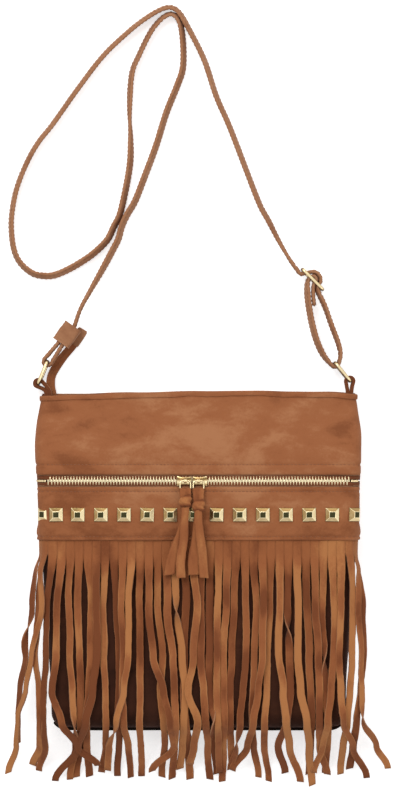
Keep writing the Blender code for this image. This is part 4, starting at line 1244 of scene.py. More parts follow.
@dataclass
class Ties:
    """The suede strips looped through the pull rings and knotted, with their loose tails."""

    finishes: Finishes
    width: float = 7.6
    wall: float = 1.3
    loop_wall: float = 0.9
    knot_y: float = 51.0
    knot_rise: float = 4.0
    knot_tall: float = 8.6
    ring_y: float = 63.4
    fold: float = 1.8
    end_y: float = -10.6
    clear: float = 54.7
    lay: float = 57.9
    layer: float = 1.6
    spread: float = 4.6
    left_drift: float = -9.0

    def strip(self, bm: BMesh, route: Path, centre: Callable[[float], Point],
              width: Callable[[float], float], seed: float, rows: int) -> None:
        """A strip along a route of heights.

        Args:
            bm: The bmesh to add it to.
            route: Points up the bag and out of it.
            centre: Gives the middle's sideways place and its tilt for a share along.
            width: Gives its width for a share along.
            seed: Fixes its wander.
            rows: How many faces along it.
        """
        tone = bm.verts.layers.float.get("tone") or bm.verts.layers.float.new("tone")
        before = set(bm.verts)

        def place(across: float, up: float) -> Vector:
            """A point on the strip."""
            spot = route.at(up * route.length)
            way = route.way(up * route.length)
            aside = (across - 0.5) * width(up)
            middle, tilt = centre(up)
            curl = 0.5 * cloud(seed, aside * 3, up * 70, 22) + 0.35 * (2 * across - 1) ** 2
            ragged = 0.25 * waver(seed + across, up * route.length, 5) * abs(2 * across - 1)
            point = Vector((middle + aside + ragged, spot.x + aside * tilt, spot.y))
            return point + Vector((0, -way.y, way.x)) * curl

        Maker.sheet(8, rows, place, bm)
        for vert in bm.verts:
            if vert not in before:
                vert[tone] = 0.5 + 0.02 * (seed - 30) + 0.12 * cloud(seed, vert.co.x * 3, vert.co.y, 18)

    def knot(self, bm: BMesh, pull_at: float, knot_y: float, seed: float) -> None:
        """Adds a knot's two crossing wraps.

        Args:
            bm: The bmesh to add them to.
            pull_at: The knot's middle across the bag.
            knot_y: Its height up the bag.
            seed: Fixes its wander.
        """
        for turn, tilt in ((0.0, 0.32), (1.0, -0.42)):
            def wrap(around: float, up: float) -> Vector:
                """A point on the knot's wrap."""
                angle = around * 2 * math.pi
                x = (self.width / 2 + 1.1 - 0.4 * turn) * squarer(math.cos(angle), 0.6)
                z = (2.6 + 0.6 * turn) * squarer(math.sin(angle), 0.7)
                bulge = 1 + 0.2 * math.cos(math.pi * (up - 0.5) * 1.7)
                y = knot_y + (up - 0.5) * (self.knot_tall - 3.0 * turn) + tilt * x - 1.6 * turn
                y += 0.4 * waver(seed + 5, angle, 1.1)
                return Vector((pull_at + x * bulge, y, self.lay + self.layer / 2 + z * bulge))

            Maker.tube(26, 8, wrap, False, bm)

    def finish(self, name: str, bm: BMesh, side: Side, node: str, wall: float) -> None:
        """Turns a strip into a piece that swings with its pull ring."""
        materials = (self.finishes.fringe, self.finishes.edge)
        Maker.thicken(Maker.finish(name, bm, materials, "pull_" + side.word, (node,), "suede", 60), wall)

    def loop(self, side: Side, pull_at: float, seed: float) -> None:
        """A tie's loop through the ring, and its knot."""
        knot_y = self.knot_y + self.knot_rise * (side is Side.LEFT)
        foot, waist, over = self.knot_y - 1, self.knot_y + 4, self.lay + self.layer
        bends = arc(Vector((self.ring_y, self.clear)), self.fold, -90, 90)
        route = Path([(foot, self.lay), (waist, self.lay - 1.4), *bends, (waist, over - 0.2), (foot, over)])
        bm = bmesh.new()
        self.strip(bm, route, lambda up: (pull_at, 0.0),
                   lambda up: self.width * blend(1.0, 1.32, math.sin(math.pi * up)), seed, 56)
        self.knot(bm, pull_at, knot_y, seed)
        # Painted light and shade on the knot: its wraps are lighter at the knot's middle and darker towards
        # their upper and lower edges, in the creases.
        tone = bm.verts.layers.float.get("tone")
        for vert in bm.verts:
            vert[tone] = vert[tone] or 0.66 - 0.5 * ease((abs(vert.co.y - knot_y) - 2.4) / 2.6)
        self.finish("tie_loop_" + side.word, bm, side, "tassel_" + side.word, self.loop_wall)

    def tails(self, side: Side, pull_at: float, seed: float) -> None:
        """A tie's two tails, the left tie's swept to the left."""
        route = ((self.knot_y - 2, 0.0), (41, 0.3), (27, -0.6), (12, -1.8), (self.end_y, -2.2))
        kinds = ((-1, "under", self.lay, 0.0, 1.22), (1, "over", self.lay + self.layer, 2.5, 1.0))
        for hand, name, level, longer, wide in kinds:
            drift = hand * self.spread + (self.left_drift if side is Side.LEFT else 0.0)

            def centre(up: float) -> Point:
                """The tail's middle and its tilt."""
                return pull_at + drift * ease(up) + 0.8 * waver(seed + hand, up * 60, 24), -0.12 * drift / 9

            def width(up: float) -> float:
                """The tail's width, least at the knot."""
                return self.width * blend(0.8, wide, ease(up * 1.6))

            bm = bmesh.new()
            path = Path([(y - longer * ease((self.knot_y - y) / 60), z + level) for y, z in route])
            self.strip(bm, path, centre, width, seed + 2 + hand, 60)
            end = side.word + "_" + name
            self.finish("tie_tail_" + end, bm, side, "tail_" + end, self.wall)

    def build(self) -> None:
        """Makes both ties."""
        for side, pull_at in zip(Side, PULLS_X):
            seed = 31 + side.value
            self.loop(side, pull_at, seed)
            self.tails(side, pull_at, seed)


@dataclass
class Studs:
    """A row of square gold studs with sloped sides and flat tops."""

    shell: Shell
    finishes: Finishes
    count: int = 15
    pitch: float = 20.4
    middle_at: float = -4.5
    side: float = 12.0
    top: float = 3.6
    skirt: float = 0.9
    height: float = 4.6
    lip: float = 0.45
    bevel: float = 0.24
    seat_gap: float = 0.3
    turned: float = 4.0
    tilted: float = 2.5
    inward: Mapping[int, float] = field(default_factory=lambda: {0: 8.6, 1: 1.4, 14: -3.8})
    first_shift: Vector = Vector((5.2, 0, 1.8))

    def shade(self, face: bmesh.types.BMFace, back: Matrix) -> float:
        """The painted reflection shade of a stud's face: darkest on its flat top, lightest on its bevelled
        ridges, and set for each slope by the way it faces.

        Args:
            face: The face.
            back: The stud's place, inverted.

        Returns:
            The shade, from 0 to 1.
        """
        normal = back.to_3x3() @ face.normal
        if face.calc_area() < 2.0:
            return 0.0
        if normal.z > 0.95:
            return 1.0
        if normal.z < 0.2:
            return 0.35
        slopes = ((normal.y, 0.62), (-normal.y, 0.32), (normal.x, 0.02), (-normal.x, 0.45))
        return max(slopes)[1]

    def stud(self, bm: BMesh, tone: bmesh.types.BMLayerItem, number: int) -> None:
        """Adds one stud.

        Args:
            bm: The bmesh to add it to.
            tone: The layer that holds its faces' painted reflection shades.
            number: Its place from the left.
        """
        spot = self.middle_at + (number - self.count // 2) * self.pitch + self.inward.get(number, 0.0)
        done = set(bm.faces)
        edges = (abs(spot) + edge * self.side / 2 for edge in (-1, 0, 1))
        seat = max(self.shell.outer_lift(edge, self.shell.stud_y) for edge in edges)
        middle, across, _, out = self.shell.frame(spot, self.shell.stud_y, seat + self.seat_gap)
        if number == 0:
            middle += self.first_shift
            out = out.lerp(Vector((0, 0, 1)), 0.5).normalized()
            across = (across - out * across.dot(out)).normalized()
        turn = Matrix.Rotation(math.radians(self.turned * waver(41, number * 1.0, 1.7)), 4, "Z")
        tilt = Matrix.Rotation(math.radians(self.tilted * waver(42, number * 1.0, 1.3)), 4, "X")
        place = stood(middle, across, out.cross(across), out) @ turn @ tilt
        foot = place @ Matrix.Translation((0, 0, self.skirt / 2))
        block = Maker.block(bm, (self.side, self.side, self.skirt), foot)
        faces = {face for vert in block for face in vert.link_faces}
        roof = max(faces, key=lambda face: face.calc_center_median().dot(out))
        bmesh.ops.inset_individual(bm, faces=[roof], thickness=self.lip, depth=0.0)
        bmesh.ops.inset_individual(bm, faces=[roof], thickness=(self.side - self.top) / 2,
                                   depth=self.height - self.skirt - 0.25)
        fresh = [face for face in bm.faces if face not in done]
        around = {edge for face in fresh for edge in face.edges}
        edges = [edge for edge in around if edge.calc_face_angle(0.0) > 0.2]
        bmesh.ops.bevel(bm, geom=edges, offset=self.bevel, segments=2, profile=0.5, affect="EDGES",
                        material=-1)
        back = place.inverted()
        bm.normal_update()
        for face in bm.faces:
            if face not in done:
                face[tone] = self.shade(face, back)

    def build(self) -> None:
        """Makes the studs as one piece."""
        bm = bmesh.new()
        tone = bm.faces.layers.float.new("tone")
        for number in range(self.count):
            self.stud(bm, tone, number)
        nodes = ["stud_%02d" % (number + 1) for number in range(self.count)]
        Maker.finish("stud_row", bm, (self.finishes.studs,), "bag", nodes, "gold", 25)


@dataclass
class Fringe:
    """The suede fringe: a header under the stud band, cut into strands that lie down the front."""

    shell: Shell
    finishes: Finishes
    middle_at: float = -1.5
    pitch: float = 7.7
    cut: float = 0.5
    wall: float = 1.2
    header_lift: float = 1.7
    slit_y: float = 7.0
    header_top: float = 26.0
    layer: float = 1.7
    settle: float = 72.0
    rest_gap: float = 0.4
    wander: float = 0.8
    wander_span: float = 34.0
    rows: int = 72
    columns: int = 6
    twists: tuple[tuple[int, float, int], ...] = (
        (0, 72, 1), (17, 50, -1), (30, 66, -1), (34, 92, 1), (5, 152, -1), (12, 158, 1), (25, 168, -1),
        (38, 150, -1), (21, 150, 1),
    )
    golden: tuple[int, ...] = (2, 17, 37, 12, 31)
    dusky: tuple[int, ...] = (0, 3, 8, 10, 25, 30, 33, 39, 21)

    def drift(self, strand: tuple[tuple[int, ...], int, int], drop: float) -> float:
        """How far a strand has moved aside at a drop below the slits."""
        drifts, length, _ = strand
        places = [(0, 0), *zip(STRAND_DROPS, drifts), (max(length, STRAND_DROPS[-1] + 4), drifts[-1])]
        return between(places, drop)

    def fall(self, x: float, y: float) -> float:
        """The height at which a strand lies: on the panel, over its edge, and then on the floor."""
        shell = self.shell
        beside = max(0.0, abs(x) - shell.band_half + shell.side_rounding)
        off = math.hypot(beside, max(0.0, shell.base_rounding - TOP - y))
        drape = (shell.seam_height + shell.seam_gap / 2 + shell.front_crown) * (1 - ease(off / self.settle))
        return max(drape, shell.front_height(max(abs(x) - 3.0, 0.0), y + 7.0)) + self.rest_gap + self.wall / 2

    def strand(self, bm: BMesh, number: int, tone: bmesh.types.BMLayerItem) -> float:
        """Adds one strand.

        Args:
            bm: The bmesh to add it to.
            number: Its place from the left.
            tone: The layer that holds its shade.

        Returns:
            Its length.
        """
        shell = self.shell
        data = STRANDS[number]
        _, length, layer = data
        spot = self.middle_at + (number - (len(STRANDS) - 1) / 2) * self.pitch
        start = shell.point(spot, self.slit_y).x
        head = self.header_top - self.slit_y
        narrow, opened = 0.74 + 0.12 * chance(number + 0.7), 5.5 * chance(number + 0.3)
        twists = [(at, hand) for which, at, hand in self.twists if which == number]
        slant = 5.0 * (chance(number + 0.5) - 0.5)
        shade = 0.5 + 0.26 * (chance(number) - 0.5)
        # Golden and dusky strands differ in tone, and strands lower in the pile get a little painted shade.
        shade += 0.3 * (number in self.golden) - 0.22 * (number in self.dusky) + 0.012 * (layer - 2)

        def place(across: float, up: float) -> Vector:
            """A point on the strand."""
            drop = (1 - up) * (length + head + slant * (across - 0.5)) - head
            y = self.slit_y - drop
            freed = ease(drop / 40)
            drift, ahead = (
                self.drift(data, at) + self.wander * waver(number + 50, at, self.wander_span) * freed
                for at in (drop, drop + 3)
            )
            pile = layer * self.layer * ease(drop / 16)
            if drop <= 0:
                along = spot + (across - 0.5) * self.pitch
                return shell.frame(along, y, self.header_lift + 0.25 * cloud(44, along, y, 25))[0]
            swell = 0.25 * cloud(44, spot, y, 25)
            held, side, _, _ = shell.frame(spot, max(y, -TOP + shell.base_rounding),
                                           self.header_lift + pile + swell)
            x = start + drift
            lift = 1.1 * max(0.0, waver(number + 70, drop, 26)) * ease(drop / 30)
            free = Vector((x, y, self.fall(x, y) + pile + lift))
            slope = self.fall(x + 1.5, y) - self.fall(x - 1.5, y)
            loose = ease(drop / 45)
            middle = held.lerp(free, loose)
            middle.x = blend(held.x + drift, x, loose)
            middle.y = y
            flat = side.lerp(Vector((3, ahead - drift, slope)).normalized(), loose).normalized()
            turn = sum(hand * math.pi * ease((drop - at + 22) / 44) for at, hand in twists)
            turn += 0.2 * waver(number + 90, drop, 30) * ease(drop / 30)
            way = Vector(((ahead - drift) / 3, -1, 0)).normalized()
            out = flat.cross(way) * -1
            half = self.pitch / 2 * blend(1.0, narrow, ease((drop - opened) / 22))
            half *= 1 + 0.06 * waver(number + 110, drop, 40) * ease(drop / 30)
            hand = 2 * across - 1
            ragged = 0.22 * waver(number + 130 + 9 * round(across), drop, 4) * abs(hand) * ease(drop / 12)
            aside = hand * half + ragged
            curl = (0.55 * waver(number + 150, drop, 45) + 0.25) * hand**2 * ease(drop / 25)
            rise = abs(math.sin(turn)) * half * 0.9
            return middle + flat * aside * math.cos(turn) + out * (aside * math.sin(turn) + curl + rise)

        before = set(bm.verts)
        Maker.sheet(self.columns, self.rows, place, bm)
        fresh = [vert for vert in bm.verts if vert not in before]
        for index, vert in enumerate(fresh):
            drop = self.slit_y - vert.co.y
            across = index % (self.columns + 1) / self.columns
            # Each strand's tone wanders along it and darkens towards its lower end; its edges are lighter,
            # partly the cut edge's colour and partly a painted highlight where they curl up.
            own = shade + 0.22 * waver(number + 170, drop, 26) - 0.06 * ease((drop - 120) / 60)
            own += 0.2 * (abs(2 * across - 1) > 0.9) * ease(drop / 10)
            vert[tone] = blend(0.5, own, ease(drop / 30))
        return length

    def build(self) -> None:
        """Makes the fringe."""
        bm = bmesh.new()
        tone = bm.verts.layers.float.new("tone")
        width = len(STRANDS) * self.pitch - self.cut
        total = sum(self.strand(bm, number, tone) for number in range(len(STRANDS)))
        piece = Maker.finish("fringe_suede_strands", bm, (self.finishes.fringe, self.finishes.cut), "bag",
                             ("fringe",), "fringe_suede", 60)
        Maker.thicken(piece, self.wall, 0.0)
        height = self.header_top - self.slit_y
        area = (width * height + total * (self.pitch - self.cut)) * MM * MM


@dataclass
class Strap:
    """The shoulder strap with its rings, slide buckle, keeper and tabs, and the mouth zip's tail."""

    finishes: Finishes
    width: float = 13.0
    wall: float = 3.4
    lean: float = 15.0
    rise: float = 54.0
    height: float = 15.5
    ring_wire: float = 3.0
    ring_height: float = 22.5
    ring_span: float = 21.0
    buckle_wire: float = 2.7
    buckle_height: float = 20.0
    buckle_span: float = 25.4
    buckle_bar: float = 2.5
    clearance: float = 0.4
    keeper_length: float = 19.0
    keeper_width: float = 17.0
    keeper_wall: float = 1.5
    tab_width: float = 10.5
    tab_wall: float = 3.2
    stitch_pitch: float = 3.8
    ripple_pitch: float = 5.5
    loop_leans: tuple[Point, ...] = ((0.32, 15.0), (0.74, -8.0))

    def __post_init__(self) -> None:
        """Works out where the metal stands."""
        self.left_foot = at_corner(-1, (-3.0, 8.2))
        self.right_foot = at_corner(1, (-4.7, 10.2))
        self.left_bar = self.left_foot + Vector((0.38, 0.925)).normalized() * self.ring_span
        self.right_bar = self.right_foot + Vector((-0.631, 0.776)).normalized() * self.ring_span
        self.buckle = at_corner(1, (-38.1, 101.0))
        self.buckle_way = Vector((1, -1)).normalized()
        self.keeper = at_corner(-1, (22.4, 51.8))
        self.toward = (self.keeper - self.left_bar).normalized()

    def route(self) -> tuple[Path, Vector, Vector]:
        """The strap's whole run, from its sewn end round both rings.

        Returns:
            The run, and where its free stretch begins and ends.
        """
        ring_bend = self.ring_wire / 2 + self.clearance + self.wall / 2
        sewn_bend = self.buckle_bar / 2 + self.clearance + self.wall / 2
        angle = math.degrees(math.atan2(self.toward.y, self.toward.x))
        side = Vector((-self.toward.y, self.toward.x)) * (self.wall + 0.3) / 2
        first_bar = self.buckle - self.buckle_way * (self.buckle_span / 2)
        free = [at_mouth(point) for point in STRAP_ROUTE]
        points = [
            *(at_corner(1, point) for point in SEWN_END),
            *arc(self.buckle, sewn_bend, -45, 135, 7),
            *(at_corner(1, point) for point in reversed(LEFT_STRAND)),
            *arc(self.right_bar, ring_bend, 242, 360, 7),
            *(at_corner(1, point) for point in reversed(RIGHT_STRAND)),
            *arc(self.buckle, sewn_bend + self.wall + 0.3, -45, 115, 7),
            *arc(first_bar, self.buckle_wire / 2 + self.clearance + self.wall / 2 + 0.6, -50, -130, 3),
            *free,
            self.keeper + self.toward * 6 - side, self.keeper - self.toward * 8 - side,
            *arc(self.left_bar, ring_bend, angle - 90, angle - 270, 7),
            self.keeper - self.toward * 8 + side, self.keeper + self.toward * 5 + side,
        ]
        return Path(points, 8), free[0], free[-1]

    def run(self) -> None:
        """The strap itself: a padded, turned-edge strip that stands on edge."""
        path, first, last = self.route()
        turn_at, first_free, last_free = map(path.nearest, (at_mouth(LEAN_CHANGES_AT), first, last))
        rows = int(path.length / 2.2)

        def stand(distance: float) -> tuple[Vector, Vector, Vector]:
            """The strap's middle at a distance, and its directions up along its width and out of its face."""
            free = ease(min(distance - first_free, last_free - distance) / self.rise)
            lean = self.lean * free * (1 - 2 * ease((distance - turn_at) / 60 + 0.5))
            for middle_at, most in self.loop_leans:
                lean += most * ease(1.9 - abs(distance / first_free - middle_at) / 0.11)
            turn = math.radians(lean)
            rest = 0.4 + self.width / 2 * math.cos(turn) + self.wall / 2 * abs(math.sin(turn))
            middle = path.at(distance)
            middle.z = blend(self.height, rest, free)
            way = path.way(distance)
            side = leftward(way)
            up = Vector((0, 0, math.cos(turn))) + side * math.sin(turn)
            return middle, up, side * math.cos(turn) - Vector((0, 0, math.sin(turn)))

        def place(around: float, along: float) -> Vector:
            """A point on the strap's skin."""
            distance = along * path.length
            middle, up, out = stand(distance)
            angle = around * 2 * math.pi
            across = squarer(math.cos(angle), 0.45)
            thick = squarer(math.sin(angle), 0.75)
            end = ease(min(along, 1 - along) * path.length / 1.5 + 0.3)
            bend = path.turn(distance)
            inner = max(0.0, math.copysign(1, thick) * bend) * 30
            ripple = math.sin(distance * 2 * math.pi / self.ripple_pitch + 2 * waver(61, distance, 12))
            pucker = 0.5 * min(inner, 1.0) * ripple
            crease = 0.12 * waver(62, distance, 6) + 0.1 * waver(63 + across, distance, 3)
            groove = -0.15 * hump(abs(across) - 0.76, 0.1)
            half = self.wall / 2 + groove + (pucker + crease) * (1 - 0.4 * across**2)
            return middle + up * across * self.width / 2 * end + out * thick * half * end

        bm = Maker.tube(20, rows, place)
        Maker.finish("strap_leather", bm, (self.finishes.strap,), "bag", ("strap",), "strap_suede", 70)
        self.stitches(path, stand)

    def stitches(self, path: Path, stand: Callable[[float], tuple[Vector, Vector, Vector]]) -> None:
        """A row of stitches along each edge of both faces.

        Args:
            path: The strap's run.
            stand: Gives the strap's middle at a distance, and its directions.
        """
        bm = bmesh.new()
        for number in range(int(path.length / self.stitch_pitch)):
            distance = (number + 0.5) * self.stitch_pitch
            middle, up, out = stand(distance)
            for edge in (-1, 1):
                for face in (-1, 1):
                    spot = middle + up * edge * self.width * 0.37 + out * face * (self.wall / 2 - 0.16)
                    place = stood(spot, path.way(distance), up, out) @ Matrix.Diagonal((2.5, 0.45, 0.5, 1))
                    bmesh.ops.create_icosphere(bm, subdivisions=1, radius=0.5, matrix=place)
        Maker.finish("strap_stitches", bm, (self.finishes.thread,), sharp=80)

    def frame_wire(self, start: Vector, stop: Vector, height: float, radius: float) -> list[Vector]:
        """The middle line of a rectangular ring that stands upright.

        Args:
            start: Where its first upright stands.
            stop: Where its second upright stands.
            height: The distance between its level bars.
            radius: The rounding of its corners.

        Returns:
            Points along it.
        """
        way = (stop - start).normalized()
        far, top = (stop - start).length - radius, height / 2 - radius
        points = []
        for quarter, (along, up) in enumerate(((far, top), (radius, top), (radius, -top), (far, -top))):
            for step in range(9):
                angle = (quarter + step / 8) * math.pi / 2
                flat = start + way * (along + radius * math.cos(angle))
                points.append(Vector((flat.x, flat.y, self.height + up + radius * math.sin(angle))))
        return points

    def gold(self, name: str, bm: BMesh, node: str, sharp: float = 40.0) -> None:
        """Turns a bmesh into a gold piece."""
        Maker.finish(name, bm, (self.finishes.gold,), "bag", (node,), "gold", sharp)

    def metal(self) -> None:
        """The two rings, and the slide buckle with its bar."""
        rings = (("left", self.left_foot, self.left_bar), ("right", self.right_foot, self.right_bar))
        for side, foot, bar in rings:
            points = self.frame_wire(foot, bar, self.ring_height - self.ring_wire, 4.0)
            bm = Maker.wire(points, self.ring_wire, True, 18)
            self.gold("ring_" + side + "_gold", bm, "ring_" + side, 60)
        half = self.buckle_way * (self.buckle_span / 2)
        tall = self.buckle_height - self.buckle_wire
        points = self.frame_wire(self.buckle - half, self.buckle + half, tall, 3.0)
        bm = Maker.wire(points, self.buckle_wire + 0.2, True, 16)
        self.gold("buckle_frame_gold", bm, "slide_buckle_frame", 60)
        bm = bmesh.new()
        reach = self.buckle_height / 2 - self.buckle_wire
        middle = Vector((self.buckle.x, self.buckle.y, self.height))
        thin = self.buckle_bar / 2
        for length, radius in ((2 * reach, thin), (2 * reach - 14, thin + 0.15)):
            made = bmesh.ops.create_cone(bm, cap_ends=True, segments=24, radius1=radius, radius2=radius,
                                         depth=length, matrix=Matrix.Translation(middle))["verts"]
            rims = [e for e in {e for v in made for e in v.link_edges} if e.calc_face_angle(0.0) > 1.0]
            bmesh.ops.bevel(bm, geom=rims, offset=0.2, segments=2, profile=0.5, affect="EDGES", material=-1)
        self.gold("buckle_bar_gold", bm, "slide_buckle_bar", 50)

    def loop(self) -> None:
        """The keeper round the strap's two runs, with a line pressed in along each edge."""
        middle = (*self.keeper, self.height)
        frame = stood(middle, self.toward.to_3d(), leftward(self.toward), Vector((0, 0, 1)))
        tall = self.width + 0.6 + 2 * self.keeper_wall

        def place(around: float, along: float) -> Vector:
            """A point on the keeper's outer face."""
            angle = around * 2 * math.pi
            y = self.keeper_width / 2 * squarer(math.cos(angle), 0.35)
            z = tall / 2 * squarer(math.sin(angle), 0.35)
            x = (along - 0.5) * self.keeper_length
            sag = -0.35 * hump(abs(x) - self.keeper_length / 2 + 1.8, 0.8)
            waist = 1 + 0.02 * cloud(64, x * 2, angle * 6, 6) + sag / 8
            return frame @ Vector((x, y * waist, z * waist))

        bm = Maker.sheet(48, 26, place)
        bmesh.ops.remove_doubles(bm, verts=bm.verts, dist=0.001)
        bmesh.ops.recalc_face_normals(bm, faces=bm.faces)
        face = max(bm.faces, key=lambda f: f.calc_center_median().z)
        if face.normal.dot(face.calc_center_median() - frame.translation) < 0:
            bmesh.ops.reverse_faces(bm, faces=bm.faces)
        piece = Maker.finish("strap_keeper_loop", bm, (self.finishes.strap, self.finishes.edge), "bag",
                             ("strap_keeper",), "strap_suede", 60)
        Maker.thicken(piece, self.keeper_wall, -1.0, 0.25)

    def tabs(self) -> None:
        """The tabs that hold the rings at the mouth's corners."""
        bend = self.ring_wire / 2 + 0.3 + self.tab_wall / 2
        apart = self.tab_wall + 0.3
        inset = MOUTH_HALF - 1.6 - self.tab_wall / 2
        sides = (
            ("left", self.left_foot, -inset, apart - inset, 40),
            ("right", self.right_foot, inset - apart, inset, 1),
        )
        for side, foot, first, last, start in sides:
            bends = reversed(arc(foot, bend, start, start + 180))
            path = Path([(first, TOP - 13), (first, TOP + 1), *bends, (last, TOP + 1), (last, TOP - 13)], 6)

            def place(across: float, up: float) -> Vector:
                """A point on the tab."""
                distance = up * path.length
                way = path.way(distance)
                out = leftward(way)
                z = self.height + (across - 0.5) * (self.tab_width + 0.3 * waver(66, distance, 9))
                return path.at(distance) + Vector((0, 0, z)) + out * 0.25 * cloud(67, distance, z, 9)

            materials = (self.finishes.suede, self.finishes.edge)
            piece = Maker.finish("tab_" + side + "_loop", Maker.sheet(10, 70, place), materials, "bag",
                                 ("tab_" + side,), "strap_suede", 60)
            Maker.thicken(piece, self.tab_wall, 0.0, 0.2)

    def zip_tail(self) -> None:
        """The mouth zip's tape end that hangs out at the left, with a folded suede end."""
        path = Path([at_corner(-1, point) for point in ZIP_TAIL], 10)

        def place(across: float, up: float) -> Vector:
            """A point on the tail."""
            distance = up * path.length
            way = path.way(distance)
            side = leftward(way)
            width = 8.0 + 0.4 * waver(71, distance, 20)
            ridge = 0.5 * hump(across - 0.5, 0.12)
            rise = Vector((0, 0, 0.2 + ridge * ease((0.8 - up) / 0.1)))
            return path.at(distance) + side * (across - 0.5) * width + rise

        materials = (self.finishes.suede, self.finishes.edge)
        piece = Maker.finish("zip_tail_tape", Maker.sheet(16, 110, place), materials, "bag", ("zip_end_tab",),
                             "zip_tape", 60)
        Maker.thicken(piece, 1.3, 0.0, 0.2)

        def cover(around: float, along: float) -> Vector:
            """A point on the folded end."""
            distance = path.length - 17 * (1 - along)
            way = path.way(distance)
            side = leftward(way)
            angle = around * 2 * math.pi
            shrink = ease(min(along, 1 - along) * 12 + 0.35)
            y = 4.7 * squarer(math.cos(angle), 0.5)
            z = 1.25 * math.sin(angle) * shrink
            return path.at(distance) + side * y * shrink + Vector((0, 0, z + 0.1))

        Maker.finish("zip_tail_end", Maker.tube(20, 16, cover), (self.finishes.strap,), "bag", (),
                     "strap_suede", 60)

    def mouth_slider(self) -> None:
        """The mouth zip's slider, parked at the right."""
        bm = bmesh.new()
        centre = Vector((MOUTH_HALF - 26, TOP - 6, 7.5))
        for level in (1.4, -1.4):
            Maker.block(bm, (13, 9, 1.2), Matrix.Translation(centre + Vector((0, 0, level))), 0.4, 3)
        Maker.block(bm, (11, 3, 3), Matrix.Translation(centre), 0.3)
        self.gold("mouth_slider_gold", bm, "main_zip_slider")

    def build(self) -> None:
        """Makes the strap and what holds it."""
        self.run()
        self.metal()
        self.loop()
        self.tabs()
        self.zip_tail()
        self.mouth_slider()


@dataclass(frozen=True)
class Lamp:
    """An area lamp: where it stands, how large it is and its power."""

    name: str
    place: tuple[float, float, float]
    size: float
    power: float


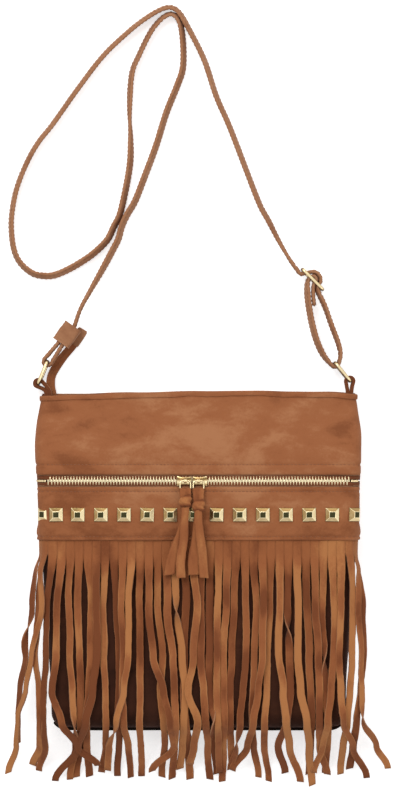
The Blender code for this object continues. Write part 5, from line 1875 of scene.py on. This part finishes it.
@dataclass
class Studio:
    """The white floor, the plain light and the camera straight above."""

    centre: Vector = Vector((1.3, 144.6, 0.0))
    frame_height: float = 709.0
    lens: float = 120.0
    sensor: float = 36.0
    level: float = 30.0
    sky: float = 0.42
    glow: float = 0.62
    floor_half: float = 6.0
    aim: tuple[float, float, float] = (0.0, 0.08, 0.02)
    lamps: tuple[Lamp, ...] = (
        Lamp("key", (-0.55, 1.1, 1.9), 1.0, 19.0),
        Lamp("fill", (1.3, -0.5, 1.6), 1.4, 6.5),
        Lamp("rim", (0.2, 2.0, 0.9), 0.8, 3.6),
    )

    @staticmethod
    def join(tree: bpy.types.NodeTree, *pairs: tuple[bpy.types.NodeSocket, bpy.types.NodeSocket]) -> None:
        """Links an output to an input, for each pair."""
        for output, socket in pairs:
            tree.links.new(output, socket)

    def white_rays(self, tree: bpy.types.NodeTree) -> bpy.types.NodeSocket:
        """A value of 1 where the camera, a gloss or a glass looks.

        Args:
            tree: The node tree to add it to.

        Returns:
            The value's socket.
        """
        path = tree.nodes.new("ShaderNodeLightPath")
        found = path.outputs["Is Camera Ray"]
        for name in ("Is Glossy Ray", "Is Transmission Ray"):
            either = tree.nodes.new("ShaderNodeMath")
            either.operation = "MAXIMUM"
            self.join(tree, (found, either.inputs[0]), (path.outputs[name], either.inputs[1]))
            found = either.outputs[0]
        return found

    def world(self) -> None:
        """A white world to look at, and an even light from it."""
        world = bpy.data.worlds.new("studio")
        bpy.context.scene.world = world
        world.use_nodes = True
        tree = world.node_tree
        tree.nodes.clear()
        shown, light = (tree.nodes.new("ShaderNodeBackground") for _ in range(2))
        shown.inputs["Strength"].default_value = 1.0
        light.inputs["Strength"].default_value = self.sky
        for node in (shown, light):
            node.inputs["Color"].default_value = (1, 1, 1, 1)
        mix, out = tree.nodes.new("ShaderNodeMixShader"), tree.nodes.new("ShaderNodeOutputWorld")
        self.join(tree, (self.white_rays(tree), mix.inputs[0]), (light.outputs[0], mix.inputs[1]),
                  (shown.outputs[0], mix.inputs[2]), (mix.outputs[0], out.inputs["Surface"]))

    def floor(self) -> None:
        """A white floor that keeps the bag's shadow."""
        material = bpy.data.materials.new("floor_white")
        material.use_nodes = True
        tree = material.node_tree
        shader = tree.nodes["Principled BSDF"]
        shader.inputs["Base Color"].default_value = (0.92, 0.92, 0.92, 1)
        shader.inputs["Roughness"].default_value = 1.0
        shader.inputs["Specular IOR Level"].default_value = 0.0
        glow, add = tree.nodes.new("ShaderNodeEmission"), tree.nodes.new("ShaderNodeAddShader")
        mix, out = tree.nodes.new("ShaderNodeMixShader"), tree.nodes["Material Output"]
        glow.inputs["Strength"].default_value = self.glow
        self.join(tree, (shader.outputs[0], add.inputs[0]), (glow.outputs[0], add.inputs[1]),
                  (self.white_rays(tree), mix.inputs[0]), (shader.outputs[0], mix.inputs[1]),
                  (add.outputs[0], mix.inputs[2]), (mix.outputs[0], out.inputs["Surface"]))
        bm = bmesh.new()
        bmesh.ops.create_grid(bm, x_segments=1, y_segments=1, size=self.floor_half)
        mesh = bpy.data.meshes.new("floor")
        bm.to_mesh(mesh)
        bm.free()
        mesh.materials.append(material)
        floor = bpy.data.objects.new("floor", mesh)
        bpy.context.scene.collection.objects.link(floor)
        floor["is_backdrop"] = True

    def lights(self) -> None:
        """The soft lamps."""
        aim = Vector(self.aim)
        for lamp in self.lamps:
            light = bpy.data.lights.new(lamp.name, "AREA")
            light.size = lamp.size
            light.energy = lamp.power
            obj = bpy.data.objects.new(lamp.name, light)
            obj.location = lamp.place
            obj.rotation_euler = (aim - Vector(lamp.place)).to_track_quat("-Z", "Y").to_euler()
            bpy.context.scene.collection.objects.link(obj)

    def camera(self) -> None:
        """The camera, straight above with the bag's top upwards."""
        data = bpy.data.cameras.new("camera")
        data.lens = self.lens
        data.sensor_width = self.sensor
        data.clip_end = 20.0
        camera = bpy.data.objects.new("camera", data)
        away = self.frame_height * self.lens / self.sensor + self.level
        camera.location = Vector((self.centre.x, self.centre.y, away)) * MM
        bpy.context.scene.collection.objects.link(camera)
        bpy.context.scene.camera = camera

    def build(self) -> None:
        """Sets the studio up."""
        bpy.context.scene.view_settings.view_transform = "Standard"
        self.world()
        self.floor()
        self.lights()
        self.camera()


def main() -> None:
    """Dresses the bag and lights it."""
    logging.basicConfig(level=logging.INFO, format="%(message)s")
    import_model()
    cad_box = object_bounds()
    shell, finishes = Shell(), Finishes()
    Studio().build()
    Panels(shell, finishes).build()
    FrontZip(shell, finishes).build()
    Studs(shell, finishes).build()
    Fringe(shell, finishes).build()
    Ties(finishes).build()
    Strap(finishes).build()
    visual_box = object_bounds()
    boxes = {name: [list(map(float, corner)) for corner in box] for name, box in
             (("cad", cad_box), ("visual", visual_box))}
    logger.info("cad %s, visual %s", boxes["cad"], boxes["visual"])


if __name__ == "__main__":
    main()
